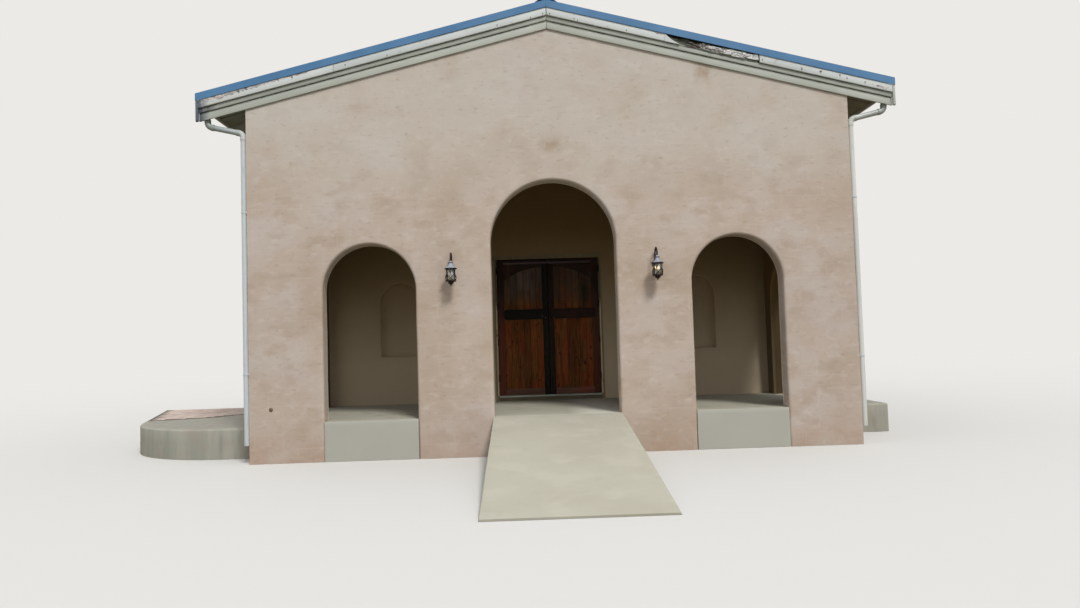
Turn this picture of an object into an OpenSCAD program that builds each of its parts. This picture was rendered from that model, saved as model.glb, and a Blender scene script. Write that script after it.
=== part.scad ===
// Small chapel with a three-arched porch, a low metal roof and a ramp to its doors.
// Millimetres. X runs along the front, Y into the building and Z up.
// The origin is on the underside of the front wall, at its middle.
// Z = 0 is the lowest ground, at the foot of the ramp.

/* [Overall] */
// Width of the front, over the stucco
front_w = 8700; // [8400:10:9600]
// Length of the building, from front face to rear face
building_l = 13000; // [11500:50:16000]
// Height of the porch floor above the lowest ground
floor_z = 556; // [450:2:700]
// Height of the rake boards' lower edge at the wall's corner
corner_z = 5040; // [4700:10:5400]
// Rise of the roof for each metre of run
roof_pitch = 250; // [180:5:320]

/* [Walls] */
// Thickness of the front wall
front_t = 250; // [200:5:320]
// Thickness of the porch's end walls
end_t = 430; // [300:5:500]
// Thickness of the nave's side walls
side_t = 250; // [200:5:300]
// Thickness of the porch's back wall
back_t = 250; // [220:5:300]
// Thickness of the rear wall
rear_t = 250; // [200:5:320]
// Depth of the porch, from front face to back wall
porch_depth = 2930; // [2700:10:3400]
// Radius of the stucco's rounded corner at the arches
arch_round = 38; // [15:1:60]

/* [Centre arch] */
// Clear width of the centre arch
centre_arch_w = 1800; // [1600:10:2200]
// Height of the centre arch above the floor
centre_arch_h = 3365; // [2900:5:3700]

/* [Side arches] */
// Clear width of a side arch
side_arch_w = 1320; // [1000:10:1600]
// Height of a side arch above the floor
side_arch_h = 2505; // [2100:5:2800]
// Distance of a side arch from the middle
side_arch_x = 2640; // [2400:10:2900]

/* [End arches] */
// Clear width of the arch in each end wall
end_arch_w = 1200; // [900:10:1400]
// Height of an end arch above the floor
end_arch_h = 2250; // [1900:10:2500]
// Distance of an end arch from the porch's back wall
end_arch_back = 300; // [200:5:400]

/* [Niches] */
// Width of a blind niche
niche_w = 720; // [500:10:900]
// Height of a niche, sill to crown
niche_h = 1300; // [1000:10:1700]
// Height of a niche's sill above the floor
niche_sill = 850; // [600:10:1100]
// Depth of a niche
niche_d = 80; // [40:5:120]

/* [Windows] */
// Clear width of a nave window
window_w = 720; // [500:10:900]
// Height of a nave window, sill to crown
window_h = 1500; // [1000:10:1900]
// Height of a window's sill above the floor
window_sill = 950; // [700:10:1200]
// Windows along each side of the nave
window_count = 3; // [1:1:4]
// Width of a window frame's member
window_member = 55; // [40:1:80]
// Depth of a window frame
window_frame_d = 70; // [50:1:100]
// Distance of a window frame behind the wall's face
window_inset = 110; // [60:5:130]
// Thickness of the window glass
window_glass_t = 8; // [4:1:12]

/* [Floor and ceiling] */
// Thickness of the concrete floor
slab_t = 150; // [100:5:200]
// Height of the ceiling's underside above the floor
ceiling_h = 4200; // [3700:10:4400]
// Thickness of the ceiling
ceiling_t = 30; // [15:1:50]

/* [Roof] */
// Thickness of the roof deck, plumb
deck_t = 120; // [80:5:160]
// Height of the deck's top above the rake boards' lower edge
deck_top = 350; // [330:5:380]
// Thickness of the roof sheet
sheet_t = 6; // [3:1:10]
// Height of a sheet's rib
rib_h = 38; // [20:1:45]
// Width of a rib at its foot
rib_foot = 80; // [60:1:100]
// Width of a rib at its crest
rib_crest = 36; // [20:1:50]
// Distance from rib to rib
rib_pitch = 305; // [250:1:400]
// Gap between a sheet's upper end and the ridge
ridge_gap = 12; // [5:1:40]
// Reach of the sheet over the gutter, past the eave board
sheet_over = 70; // [40:5:90]
// Reach of the ridge cap to each side of the ridge
cap_leg = 156; // [130:2:240]
// Distance from the ridge to the cap's knee, where its side turns down
cap_knee = 74; // [50:2:100]
// Rise of the cap's middle above its legs
cap_rise = 37; // [20:1:60]
// Thickness of the ridge cap
cap_t = 6; // [3:1:10]

/* [Rake] */
// Height of the whole stack of rake boards
rake_h = 295; // [270:5:310]
// Height of the lower board
rake_low_h = 115; // [90:5:130]
// Height of the middle strip
rake_mid_h = 70; // [50:5:80]
// Thickness of the lower board
rake_low_t = 26; // [18:1:35]
// Thickness of the middle strip
rake_mid_t = 46; // [38:1:52]
// Thickness of the upper board
rake_up_t = 72; // [56:1:90]
// Length of the block that closes the boards' lower end
end_block = 34; // [20:1:60]
// Thickness of the metal trim's face
trim_t = 12; // [6:1:16]
// Thickness of the trim's leg over the roof
trim_leg_t = 5; // [3:1:8]
// Length of the trim's leg over the roof
trim_leg = 160; // [120:5:220]

/* [Eaves] */
// Overhang of the roof, from the wall to the eave board's outer face
eave_out = 510; // [460:5:600]
// Thickness of the eave board
fascia_t = 25; // [18:1:35]
// Height of the eave board
fascia_h = 280; // [260:5:300]
// Reach of the rake boards past the eave board
rake_over = 170; // [150:5:220]
// Height of the sloping soffit above the rake boards' lower edge
soffit_up = 100; // [90:5:150]
// Thickness of the soffit
soffit_t = 12; // [8:1:20]
// Width of the gutter
gutter_w = 120; // [110:5:140]
// Height of the gutter
gutter_h = 115; // [90:5:130]
// Wall of the gutter
gutter_t = 4; // [3:1:6]
// Distance of the gutter's rim below the eave board's top
gutter_drop = 20; // [15:1:40]

/* [Downspouts] */
// Diameter of the downspout
pipe_d = 80; // [60:2:84]
// Wall of the elbows, which the straight lengths slide into
elbow_t = 3; // [2:0.5:4]
// Length of an elbow's sleeve
sleeve_l = 30; // [20:1:50]
// Radius of the elbows, at their middle
elbow_r = 78; // [65:1:90]
// Turn of the elbows
elbow_a = 77; // [60:1:80]
// Gap between the downspout's sleeves and the wall
pipe_gap = 3; // [1:1:20]
// Distance from the front's face to the downspout's sleeve
pipe_back = 5; // [2:1:40]
// Height of the upper elbow above the rake boards' lower end
elbow_up = 15; // [-45:5:45]
// Height of the downspout's foot
pipe_foot_z = 260; // [150:10:400]
// Depth to which the downspout's foot is open
pipe_open = 80; // [40:5:150]

/* [Doors] */
// Clear width between the door jambs
door_w = 1830; // [1600:10:2000]
// Clear height of the door opening above its threshold
door_h = 2440; // [2200:10:2600]
// Thickness of a door leaf
leaf_t = 45; // [38:1:55]
// Gap between a leaf and its jamb
leaf_gap = 5; // [5:1:8]
// Gap between the two leaves
leaf_meet = 9; // [9:1:14]
// Width of the frame's face
jamb_w = 58; // [45:1:80]
// Depth of the door frame
jamb_d = 130; // [110:5:180]
// Depth of the stop behind the leaves
stop_d = 40; // [25:1:50]
// Projection of the stop into the opening
stop_w = 16; // [12:1:25]
// Height of the threshold above the floor
threshold_h = 95; // [60:5:120]
// Projection of the threshold in front of the door frame
threshold_out = 30; // [15:1:50]
// Width of a leaf's outer stile
stile_w = 122; // [90:1:140]
// Width of a leaf's meeting stile
meeting_w = 96; // [70:1:120]
// Height of a leaf's bottom rail
bottom_rail_h = 118; // [100:2:180]
// Height of the middle rail
mid_rail_h = 180; // [140:5:220]
// Height of the middle rail's centre above the leaf's foot
mid_rail_z = 1435; // [1200:5:1500]
// Projection of the middle rail from the stiles
mid_rail_out = 10; // [6:1:16]
// Rounding of the middle rail's outer end
mid_rail_round = 45; // [10:1:65]
// Distance from the left leaf's hinged edge to the middle rail's end
rail_end_left = 118; // [60:1:125]
// Distance from the right leaf's hinged edge to the middle rail's end
rail_end_right = 55; // [40:1:125]
// Height of a leaf's top rail at the meeting stile
top_rail_h = 148; // [130:2:200]
// Extra height of the top rail at the outer stile, where its arch comes down
top_rail_drop = 240; // [100:5:280]
// Radius of the bead along the top rail
bead_r = 36; // [30:1:40]
// Projection of the bead from the rail
bead_out = 12; // [8:1:16]
// Distance of the bead's middle below the leaf's top
bead_down = 62; // [50:1:80]
// Depth of the planked panels below the rails' face
panel_inset = 12; // [8:1:16]

/* [Hinges and pulls] */
// Hinges on each leaf
hinge_count = 4; // [3:1:5]
// Height of the lowest hinge's middle above the leaf's foot
hinge_low = 310; // [200:5:400]
// Distance of the highest hinge's middle below the leaf's top
hinge_high = 200; // [150:5:400]
// Length of a hinge
hinge_l = 120; // [90:5:150]
// Gap between the knuckles of a hinge
knuckle_gap = 0.5; // [0.3:0.1:1]
// Radius of a hinge's barrel
barrel_r = 9; // [7:0.5:11]
// Gap between a hinge's barrel and the frame's face
barrel_gap = 1; // [0.5:0.5:2]
// Radius of a hinge's pin
pin_r = 4; // [3:0.5:5]
// Running clearance round a pin
pin_clear = 0.1; // [0.05:0.05:0.2]
// Thickness of a hinge's plate
plate_t = 2; // [1.5:0.1:2.2]
// Depth of a hinge's plate along the leaf's edge
plate_lap = 27; // [18:1:36]
// Radius of a pull's round plate
rose_r = 28; // [22:1:34]
// Thickness of a pull's plate
rose_t = 5; // [3:0.5:8]
// Radius of a pull's knob
knob_r = 19; // [14:0.5:22]
// Distance of the knob's middle from the rail
knob_out = 36; // [30:1:45]
// Radius of the knob's neck
knob_neck_r = 8; // [6:0.5:10]

/* [Lanterns] */
// Distance of a lantern from the middle
lantern_x = 1455; // [1300:5:1700]
// Height of a lantern's rim above the ground
lantern_z = 2660; // [2400:5:2800]
// Distance of a lantern's axis from the wall
lantern_out = 190; // [150:5:240]
// Width of a lantern's roof at its rim
bell_w = 178; // [150:2:210]
// Width of a lantern's roof at its neck
bell_neck_w = 66; // [50:2:90]
// Height of a lantern's roof
bell_h = 84; // [60:2:110]
// Thickness of the roof's rim
bell_rim = 6; // [4:1:12]
// Radius of the ring round the neck
neck_ring_r = 37; // [30:1:50]
// Radius of the small dome over the neck
dome_r = 27; // [20:1:30]
// Width of a lantern's cage at its top
cage_top_w = 164; // [130:2:176]
// Width of a lantern's cage at its foot
cage_foot_w = 146; // [110:2:160]
// Height of a lantern's cage
cage_h = 172; // [140:2:220]
// Width of the cage's posts and rings
cage_bar = 9; // [6:1:14]
// Radius of the bowl under the cage
bowl_r = 43; // [30:1:55]
// Radius of the ball at the lantern's foot
finial_r = 12; // [8:1:16]
// Gap between the glass and the cage's posts
glass_gap = 2; // [1:0.5:5]
// Radius of the lantern's arm, along its bend
arm_r = 7; // [5:0.5:10]
// Extra radius of the arm's straight rods
rod_extra = 1; // [0.5:0.5:3]
// Height of the arm's top above the rim
arm_top = 240; // [220:5:300]
// Radius of the wall plate
wall_plate_r = 50; // [40:1:70]
// Thickness of the wall plate
wall_plate_t = 10; // [6:1:16]

/* [Ramp] */
// Length of the ramp
ramp_l = 4070; // [3600:10:4600]
// Width of the ramp
ramp_w = 1842; // [1700:2:2200]
// Height of the ramp's lip at its foot
ramp_lip = 20; // [10:1:40]

/* [Stoops] */
// Height of the stoops above the lowest ground
stoop_z = 450; // [350:5:520]
// Distance of the left stoop's front edge behind the front's face
left_stoop_front = 625; // [500:5:700]
// Distance of the left stoop's back edge behind the front's face
left_stoop_back = 4825; // [4600:25:5200]
// Radius of the left stoop's round corner
left_stoop_r = 1930; // [1600:10:2000]
// Distance of the round corner's middle from the end wall
left_stoop_x = 600; // [400:10:900]
// Angle at which the left stoop widens towards its back
left_stoop_splay = 17; // [5:1:25]
// Reach of the right stoop from the wall
right_stoop_x = 1000; // [800:10:1300]
// Space beside the end arch on the right stoop
right_stoop_side = 80; // [40:5:200]

/* [Hidden] */
$fn = 96;
eps = 1;
slope = roof_pitch / 1000;
slope_a = atan(slope);
half_w = front_w / 2;
face_y = -front_t / 2;
inner_y = front_t / 2;
back_y = face_y + porch_depth;
nave_y = back_y + back_t;
rear_y = face_y + building_l;
rear_in_y = rear_y - rear_t;
nave_half_w = half_w - side_t;
porch_half_w = half_w - end_t;
apex_z = corner_z + slope * half_w;
ceiling_z = floor_z + ceiling_h;
slab_z = floor_z - slab_t;
joint_gap = 1;
seat = 0.3;

// Height of the rake line, the rake boards' lower edge, at a distance from the middle
function rake_z(x) = apex_z - slope * abs(x);
// Plumb height of the deck's underside at a distance from the middle
function deck_under_z(x) = rake_z(x) + deck_top - deck_t;

// Roof: plumb heights above the rake line
sheet_up = deck_top + seat;
crest_up = sheet_up + (sheet_t + rib_h) / cos(slope_a);
trim_up = crest_up + seat + trim_leg_t;
rib_count = floor((building_l - rib_foot - 2 * sheet_t) / rib_pitch) + 1;
rib_start = (building_l - (rib_count - 1) * rib_pitch) / 2;
// Ribbed outline of the roof sheet, along the building and up from the deck
sheet_outline = concat(
  [[0, 0], [0, sheet_t]],
  [for (i = [0 : rib_count - 1], p = [
    [-rib_foot / 2, sheet_t], [-rib_crest / 2, sheet_t + rib_h],
    [rib_crest / 2, sheet_t + rib_h], [rib_foot / 2, sheet_t]
  ]) [rib_start + i * rib_pitch + p[0], p[1]]],
  [[building_l, sheet_t], [building_l, 0]]
);

// Doors
sill_z = floor_z + threshold_h;
leaf_foot_gap = 6;
leaf_z = sill_z + leaf_foot_gap;
leaf_h = door_h - leaf_foot_gap - leaf_gap;
leaf_w = (door_w - leaf_meet) / 2 - leaf_gap;
frame_set = 12;
frame_y = back_y - frame_set;
leaf_set = 2;
leaf_y = frame_y + leaf_set;
hinge_x = door_w / 2 - leaf_gap / 2;
barrel_set = barrel_r + barrel_gap;
hinge_y = frame_y - barrel_set;
hinge_step = (leaf_h - hinge_low - hinge_high) / (hinge_count - 1);
hinge_zs = [for (i = [0 : hinge_count - 1]) hinge_low + i * hinge_step];
knuckle = hinge_l / 3;
// Length of a hinge's plate, from the pin's axis
plate_d = barrel_set + leaf_set + plate_lap;
stop_y = leaf_y + leaf_t + leaf_gap;
opening_half = door_w / 2 + jamb_w;
opening_top = sill_z + door_h + jamb_w;
frame_depth = max(jamb_d, stop_y + stop_d - frame_y);

// Eaves
fascia_x = half_w + eave_out;
fascia_in_x = fascia_x - fascia_t;
roof_half_w = fascia_x + rake_over;
sheet_end_x = fascia_x + sheet_over;
fascia_top = rake_z(fascia_x) + deck_top;
fascia_z = fascia_top - fascia_h;
gutter_top = fascia_top - gutter_drop;
gutter_z = gutter_top - gutter_h;
gutter_foot_w = 0.75 * gutter_w;
gutter_waist_w = 0.875 * gutter_w;
gutter_lip_h = 0.2 * gutter_h;

// Downspouts, in X and Z, from the gutter's outlet to the foot
elbow_d = pipe_d + 2 * elbow_t;
sleeve_d = elbow_d + 2 * elbow_t;
pipe_lap = 6;
pipe_x = half_w + pipe_gap + sleeve_d / 2;
pipe_y = face_y + pipe_back + sleeve_d / 2;
outlet_x = fascia_x + elbow_d / 2 + seat;
bend_z = rake_z(roof_half_w) + elbow_up;
run_l = (outlet_x - pipe_x - 2 * elbow_r * (1 - cos(elbow_a))) / sin(elbow_a);
run_top = [outlet_x - elbow_r * (1 - cos(elbow_a)), bend_z - elbow_r * sin(elbow_a)];
run_foot = run_top - run_l * [sin(elbow_a), cos(elbow_a)];
wall_bend_z = run_foot[1] - elbow_r * sin(elbow_a);

// Windows of the nave
window_bay = (rear_in_y - nave_y) / window_count;
window_ys = [for (i = [0 : window_count - 1]) nave_y + window_bay * (i + 0.5)];

// End arches and stoops
end_arch_y = back_y - end_arch_back - end_arch_w / 2;

// Shared shapes

// Right side as drawn, left side mirrored
module on_side(side) {
  mirror([side < 0 ? 1 : 0, 0, 0]) children();
}

// Front gable at end 0, rear gable at end 1; local y = 0 is the wall's face, +Y into the wall
module at_gable(end) {
  if (end == 0) translate([0, face_y, 0]) children();
  else translate([0, rear_y, 0]) mirror([0, 1, 0]) children();
}

// Box between two corners
module block(low, high) {
  translate(low) cube(high - low);
}

// Flat outline in X and Z, carried along Y from y0 to y1
module along_y(points, y0, y1) {
  translate([0, y1, 0]) rotate([90, 0, 0]) linear_extrude(y1 - y0) polygon(points);
}

// Board along the roof's slope, between two plumb ends, on the +X side
module sloped(x0, x1, low, high, y0, y1) {
  along_y([
    [x0, rake_z(x0) + low], [x1, rake_z(x1) + low],
    [x1, rake_z(x1) + high], [x0, rake_z(x0) + high]
  ], y0, y1);
}

// Arched hole along Y: foot at z = 0, rounded corner on the face at y = 0, through to depth d
module arch_hole(w, h, d, r) {
  spring = h - w / 2;
  block([-w / 2, -eps, 0], [w / 2, d + eps, spring]);
  translate([0, -eps, spring]) rotate([-90, 0, 0]) cylinder(r = w / 2, h = d + 2 * eps);
  if (r > 0) {
    linear_extrude(spring) difference() {
      translate([-w / 2 - r, -eps]) square([w + 2 * r, r + eps]);
      for (s = [-1, 1]) translate([s * (w / 2 + r), r]) circle(r = r);
    }
    translate([0, 0, spring]) rotate([-90, 0, 0]) rotate_extrude() difference() {
      translate([0, -eps]) square([w / 2 + r, r + eps]);
      translate([w / 2 + r, r]) circle(r = r);
    }
  }
}

// Walls

// Outline of the front and rear walls, up to the roof deck
function gable() = [
  [-half_w, 0], [half_w, 0], [half_w, deck_under_z(half_w)],
  [0, deck_under_z(0)], [-half_w, deck_under_z(half_w)]
];

// The side arches run down to the ground, and the floor's edge closes their feet
module front_wall() {
  color("#c3b2a3") difference() {
    along_y(gable(), face_y, inner_y);
    translate([0, face_y, floor_z]) arch_hole(centre_arch_w, centre_arch_h, front_t, arch_round);
    block([-centre_arch_w / 2, face_y - eps, slab_z], [centre_arch_w / 2, inner_y + eps, floor_z + eps]);
    for (s = [-1, 1]) translate([s * side_arch_x, face_y, -eps])
      arch_hole(side_arch_w, eps + floor_z + side_arch_h, front_t, arch_round);
  }
}

module porch_end_wall(side) {
  color("#b8a797") on_side(side) difference() {
    block([porch_half_w, inner_y, 0], [half_w, nave_y, deck_under_z(half_w)]);
    translate([half_w, end_arch_y, floor_z]) rotate([0, 0, 90])
      arch_hole(end_arch_w, end_arch_h, end_t, arch_round);
    block(
      [porch_half_w - eps, end_arch_y - end_arch_w / 2, slab_z],
      [half_w + eps, end_arch_y + end_arch_w / 2, floor_z + eps]
    );
  }
}

module porch_end_wall_left() { porch_end_wall(-1); }
module porch_end_wall_right() { porch_end_wall(1); }

// Porch's back wall beside the doors, with its blind arched niche
module back_wall(side) {
  color("#8d7c6c") on_side(side) difference() {
    block([opening_half, back_y, 0], [porch_half_w, nave_y, ceiling_z]);
    translate([side_arch_x, back_y, floor_z + niche_sill]) arch_hole(niche_w, niche_h, niche_d, 0);
  }
}

module back_wall_left() { back_wall(-1); }
module back_wall_right() { back_wall(1); }

module back_wall_over_door() {
  color("#8d7c6c") block([-opening_half, back_y, opening_top], [opening_half, nave_y, ceiling_z]);
}

module side_wall(side) {
  color("#b8a797") on_side(side) difference() {
    block([nave_half_w, nave_y, 0], [half_w, rear_in_y, deck_under_z(half_w)]);
    for (y = window_ys) translate([half_w, y, floor_z + window_sill]) rotate([0, 0, 90])
      arch_hole(window_w, window_h, side_t, 0);
  }
}

module side_wall_left() { side_wall(-1); }
module side_wall_right() { side_wall(1); }

module rear_wall() {
  color("#b8a797") along_y(gable(), rear_in_y, rear_y);
}

// Floor and ceiling

// One slab through the porch, the doorway and the nave, out to the wall faces in the arches.
// Its edge is turned down to the ground in the side arches.
module floor_slab() {
  color("#bdb8a8") {
    translate([0, 0, slab_z]) linear_extrude(slab_t) {
      translate([-porch_half_w, inner_y]) square([2 * porch_half_w, back_y - inner_y]);
      translate([-opening_half, back_y - eps]) square([2 * opening_half, back_t + 2 * eps]);
      translate([-nave_half_w, nave_y]) square([2 * nave_half_w, rear_in_y - nave_y]);
      translate([-centre_arch_w / 2, face_y]) square([centre_arch_w, front_t + eps]);
      translate([-half_w, end_arch_y - end_arch_w / 2]) square([front_w, end_arch_w]);
    }
    for (x = [-side_arch_x, side_arch_x])
      block([x - side_arch_w / 2, face_y, 0], [x + side_arch_w / 2, inner_y + eps, floor_z]);
  }
}

module ceiling() {
  color("#a89a8a") translate([0, 0, ceiling_z]) linear_extrude(ceiling_t) {
    translate([-porch_half_w, inner_y]) square([2 * porch_half_w, nave_y - inner_y + eps]);
    translate([-nave_half_w, nave_y]) square([2 * nave_half_w, rear_in_y - nave_y]);
  }
}

// Roof

module roof_deck(side) {
  color("#8a7a60") on_side(side)
    sloped(0, fascia_in_x, deck_top - deck_t, deck_top, face_y, rear_y);
}

module roof_deck_left() { roof_deck(-1); }
module roof_deck_right() { roof_deck(1); }

module roof_sheet(side) {
  sheet_l = (sheet_end_x - ridge_gap) / cos(slope_a);
  color("#4678a2") on_side(side)
    translate([0, face_y, apex_z + sheet_up]) rotate([0, slope_a, 0]) translate([ridge_gap, 0, 0])
    rotate([90, 0, 90]) linear_extrude(sheet_l) polygon(sheet_outline);
}

module roof_sheet_left() { roof_sheet(-1); }
module roof_sheet_right() { roof_sheet(1); }

// Folded cap with a raised middle, lying on the trims' legs at both gables
module ridge_cap() {
  foot = trim_up + seat;
  knee = foot + cap_rise;
  under = [[-cap_leg, foot], [-cap_knee, knee], [0, knee], [cap_knee, knee], [cap_leg, foot]];
  end_y = rake_up_t + trim_t;
  color("#4d80aa") along_y(concat(
    [for (p = under) [p[0], rake_z(p[0]) + p[1]]],
    [for (i = [len(under) - 1 : -1 : 0]) [under[i][0], rake_z(under[i][0]) + under[i][1] + cap_t]]
  ), face_y - end_y, rear_y + end_y);
}

// Metal trim over the rake boards: a face and a leg over the sheet's ribs, at both gables
module rake_trim(side) {
  color("#4678a2") on_side(side) for (end = [0, 1]) at_gable(end) {
    sloped(joint_gap, roof_half_w, rake_h, trim_up, -rake_up_t - trim_t, -rake_up_t);
    sloped(joint_gap, sheet_end_x, trim_up - trim_leg_t, trim_up, -rake_up_t - eps, trim_leg);
  }
}

module rake_trim_left() { rake_trim(-1); }
module rake_trim_right() { rake_trim(1); }

// Three boards stepping out over each other, and the block that closes them at the eave
module rake_boards(side) {
  up_z = rake_low_h + rake_mid_h;
  color("#d5d3c6") on_side(side) for (end = [0, 1]) at_gable(end) {
    sloped(joint_gap, roof_half_w, 0, rake_h, -rake_low_t, 0);
    sloped(joint_gap, roof_half_w, rake_low_h, rake_h, -rake_mid_t, -rake_low_t);
    sloped(joint_gap, roof_half_w, up_z, rake_h, -rake_up_t, -rake_mid_t);
    sloped(roof_half_w - end_block, roof_half_w, 0, rake_h, -rake_up_t, -rake_low_t);
  }
}

module rake_boards_left() { rake_boards(-1); }
module rake_boards_right() { rake_boards(1); }

// Eaves

module eave_board(side) {
  color("#d5d3c6") on_side(side) block([fascia_in_x, face_y, fascia_z], [fascia_x, rear_y, fascia_top]);
}

module eave_board_left() { eave_board(-1); }
module eave_board_right() { eave_board(1); }

// Sloping boards under the eave, from the wall to the eave board
module soffit(side) {
  color("#b9b6a2") on_side(side)
    sloped(half_w, fascia_in_x, soffit_up, soffit_up + soffit_t, face_y, rear_y);
}

module soffit_left() { soffit(-1); }
module soffit_right() { soffit(1); }

// Gutter's outline, drawn in by a wall's thickness; its front leans out to a lip
function gutter_outline(inset, top) = [
  [fascia_x + inset, gutter_z + inset],
  [fascia_x + gutter_foot_w - inset, gutter_z + inset],
  [fascia_x + gutter_waist_w - inset, gutter_z + gutter_h / 2],
  [fascia_x + gutter_w - inset, gutter_top - gutter_lip_h],
  [fascia_x + gutter_w - inset, top], [fascia_x + inset, top]
];

module gutter(side) {
  color("#dcdad0") on_side(side) difference() {
    along_y(gutter_outline(0, gutter_top), face_y, rear_y);
    along_y(gutter_outline(gutter_t, gutter_top + eps), face_y + gutter_t, rear_y - gutter_t);
    translate([outlet_x, pipe_y, gutter_z - eps])
      cylinder(d = pipe_d - 4 * gutter_t, h = gutter_t + 2 * eps);
  }
}

module gutter_left() { gutter(-1); }
module gutter_right() { gutter(1); }

// Length of round pipe from a point in X and Z, down a line that leans by an angle towards -X
module pipe(at, lean, d, from, to) {
  translate([at[0], 0, at[1]]) rotate([0, 180 + lean, 0]) translate([0, 0, from])
    cylinder(d = d, h = to - from);
}

// Elbow that turns from straight down towards -X, about a centre to its left
module elbow() {
  rotate([-90, 0, 0]) rotate_extrude(angle = elbow_a) translate([elbow_r, 0]) circle(d = elbow_d);
}

// Downspout: straight out of the gutter, back to the wall by two elbows, down the wall
module downspout(side) {
  gutter_end = [outlet_x, gutter_z];
  bend_end = [outlet_x, bend_z];
  wall_end = [pipe_x, wall_bend_z];
  color("#cfcabb") on_side(side) translate([0, pipe_y, 0]) difference() {
    union() {
      pipe(gutter_end, 0, pipe_d, 0, gutter_z - bend_z + pipe_lap);
      pipe(bend_end, 0, sleeve_d, -sleeve_l, eps);
      translate([outlet_x - elbow_r, 0, bend_z]) elbow();
      pipe(run_top, elbow_a, sleeve_d, -eps, sleeve_l);
      pipe(run_top, elbow_a, pipe_d, -pipe_lap, run_l + pipe_lap);
      pipe(run_foot, elbow_a, sleeve_d, -sleeve_l, eps);
      translate([pipe_x + elbow_r, 0, wall_bend_z]) rotate([0, 180, 0]) elbow();
      pipe(wall_end, 0, sleeve_d, -eps, sleeve_l);
      pipe(wall_end, 0, pipe_d, -pipe_lap, wall_bend_z - pipe_foot_z);
    }
    translate([pipe_x, 0, pipe_foot_z - eps]) cylinder(d = pipe_d - 2 * elbow_t, h = pipe_open + eps);
  }
}

module downspout_left() { downspout(-1); }
module downspout_right() { downspout(1); }

// Doors

// Jamb with the rebate that the leaf closes into
module door_jamb(side) {
  inner_x = door_w / 2 - stop_w;
  color("#7c6f5e") on_side(side) difference() {
    block([inner_x, frame_y, floor_z], [opening_half, frame_y + frame_depth, opening_top - jamb_w]);
    block([inner_x - eps, frame_y - eps, floor_z - eps], [door_w / 2, stop_y, opening_top]);
    block(
      [inner_x - eps, stop_y + stop_d, floor_z - eps],
      [door_w / 2, frame_y + frame_depth + eps, opening_top]
    );
    block([inner_x - eps, frame_y - eps, floor_z - eps], [door_w / 2, frame_y + frame_depth + eps, sill_z]);
  }
}

module door_jamb_left() { door_jamb(-1); }
module door_jamb_right() { door_jamb(1); }

module door_head() {
  z = sill_z + door_h;
  color("#7c6f5e") {
    block([-opening_half, frame_y, z], [opening_half, frame_y + frame_depth, opening_top]);
    block(
      [-door_w / 2 + stop_w + seat, stop_y, z - stop_w],
      [door_w / 2 - stop_w - seat, stop_y + stop_d, z + eps]
    );
  }
}

module door_threshold() {
  color("#a9a79a") block([-door_w / 2, frame_y - threshold_out, floor_z], [door_w / 2, nave_y, sill_z]);
}

// Board in X and Z with two rounded corners at its +X end, carried from y = -d to y = 0
module round_ended_board(x0, x1, z0, z1, r, d) {
  rotate([90, 0, 0]) linear_extrude(d) {
    translate([x0, z0]) square([x1 - r - x0, z1 - z0]);
    translate([x0, z0 + r]) square([x1 - x0, z1 - z0 - 2 * r]);
    for (z = [z0 + r, z1 - r]) translate([x1 - r, z]) circle(r = r);
  }
}

// Leaf drawn from its hinged edge at x = 0 to its meeting edge at x = -leaf_w, stiles' face at y = 0.
// Two sunk panels, the upper one arched; the middle rail lies over the outer stile with a round end.
module leaf_body(rail_end) {
  mid_low = mid_rail_z - mid_rail_h / 2;
  mid_high = mid_rail_z + mid_rail_h / 2;
  panel_x = -leaf_w + meeting_w;
  panel_top = leaf_h - top_rail_h;
  panel_w = leaf_w - stile_w - meeting_w;
  arch_r = (pow(panel_w, 2) + pow(top_rail_drop, 2)) / (2 * top_rail_drop);
  difference() {
    block([-leaf_w, 0, 0], [0, leaf_t, leaf_h]);
    block([panel_x, -eps, bottom_rail_h], [-stile_w, panel_inset, mid_low]);
    intersection() {
      block([panel_x, -eps, mid_high], [-stile_w, panel_inset, panel_top]);
      translate([panel_x, -2 * eps, panel_top - arch_r]) rotate([-90, 0, 0])
        cylinder(r = arch_r, h = panel_inset + 4 * eps, $fn = 180);
    }
  }
  round_ended_board(-leaf_w, -rail_end, mid_low, mid_high, mid_rail_round, mid_rail_out);
  intersection() {
    translate([-leaf_w, bead_r - bead_out, leaf_h - bead_down]) rotate([0, 90, 0])
      cylinder(r = bead_r, h = leaf_w - stile_w);
    block([-leaf_w, -leaf_t, 0], [0, eps, leaf_h]);
  }
}

module door_leaf(side, rail_end) {
  color("#3a1c10") on_side(side) translate([door_w / 2 - leaf_gap, leaf_y, leaf_z]) leaf_body(rail_end);
}

module door_leaf_left() { door_leaf(-1, rail_end_left); }
module door_leaf_right() { door_leaf(1, rail_end_right); }

// Frame's half of the hinges: outer knuckles, pin and plates on the jamb
module frame_hinges() {
  color("#2a2622") for (s = [-1, 1]) on_side(s) for (z = hinge_zs)
    translate([hinge_x, hinge_y, leaf_z + z - hinge_l / 2]) {
      cylinder(r = pin_r, h = hinge_l);
      for (low = [0, 2 * knuckle + knuckle_gap]) translate([0, 0, low]) {
        cylinder(r = barrel_r, h = knuckle - knuckle_gap);
        block([leaf_gap / 2 - plate_t, 0, 0], [leaf_gap / 2, plate_d, knuckle - knuckle_gap]);
      }
    }
}

// Leaf's half of the hinges: middle knuckle round the pin and plate on the leaf's edge
module leaf_hinges(side) {
  color("#2a2622") on_side(side) for (z = hinge_zs)
    translate([hinge_x, hinge_y, leaf_z + z - hinge_l / 2 + knuckle]) difference() {
      union() {
        cylinder(r = barrel_r, h = knuckle);
        block([-leaf_gap / 2, 0, 0], [-leaf_gap / 2 + plate_t, plate_d, knuckle]);
      }
      translate([0, 0, -eps]) cylinder(r = pin_r + pin_clear, h = knuckle + 2 * eps);
    }
}

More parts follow.
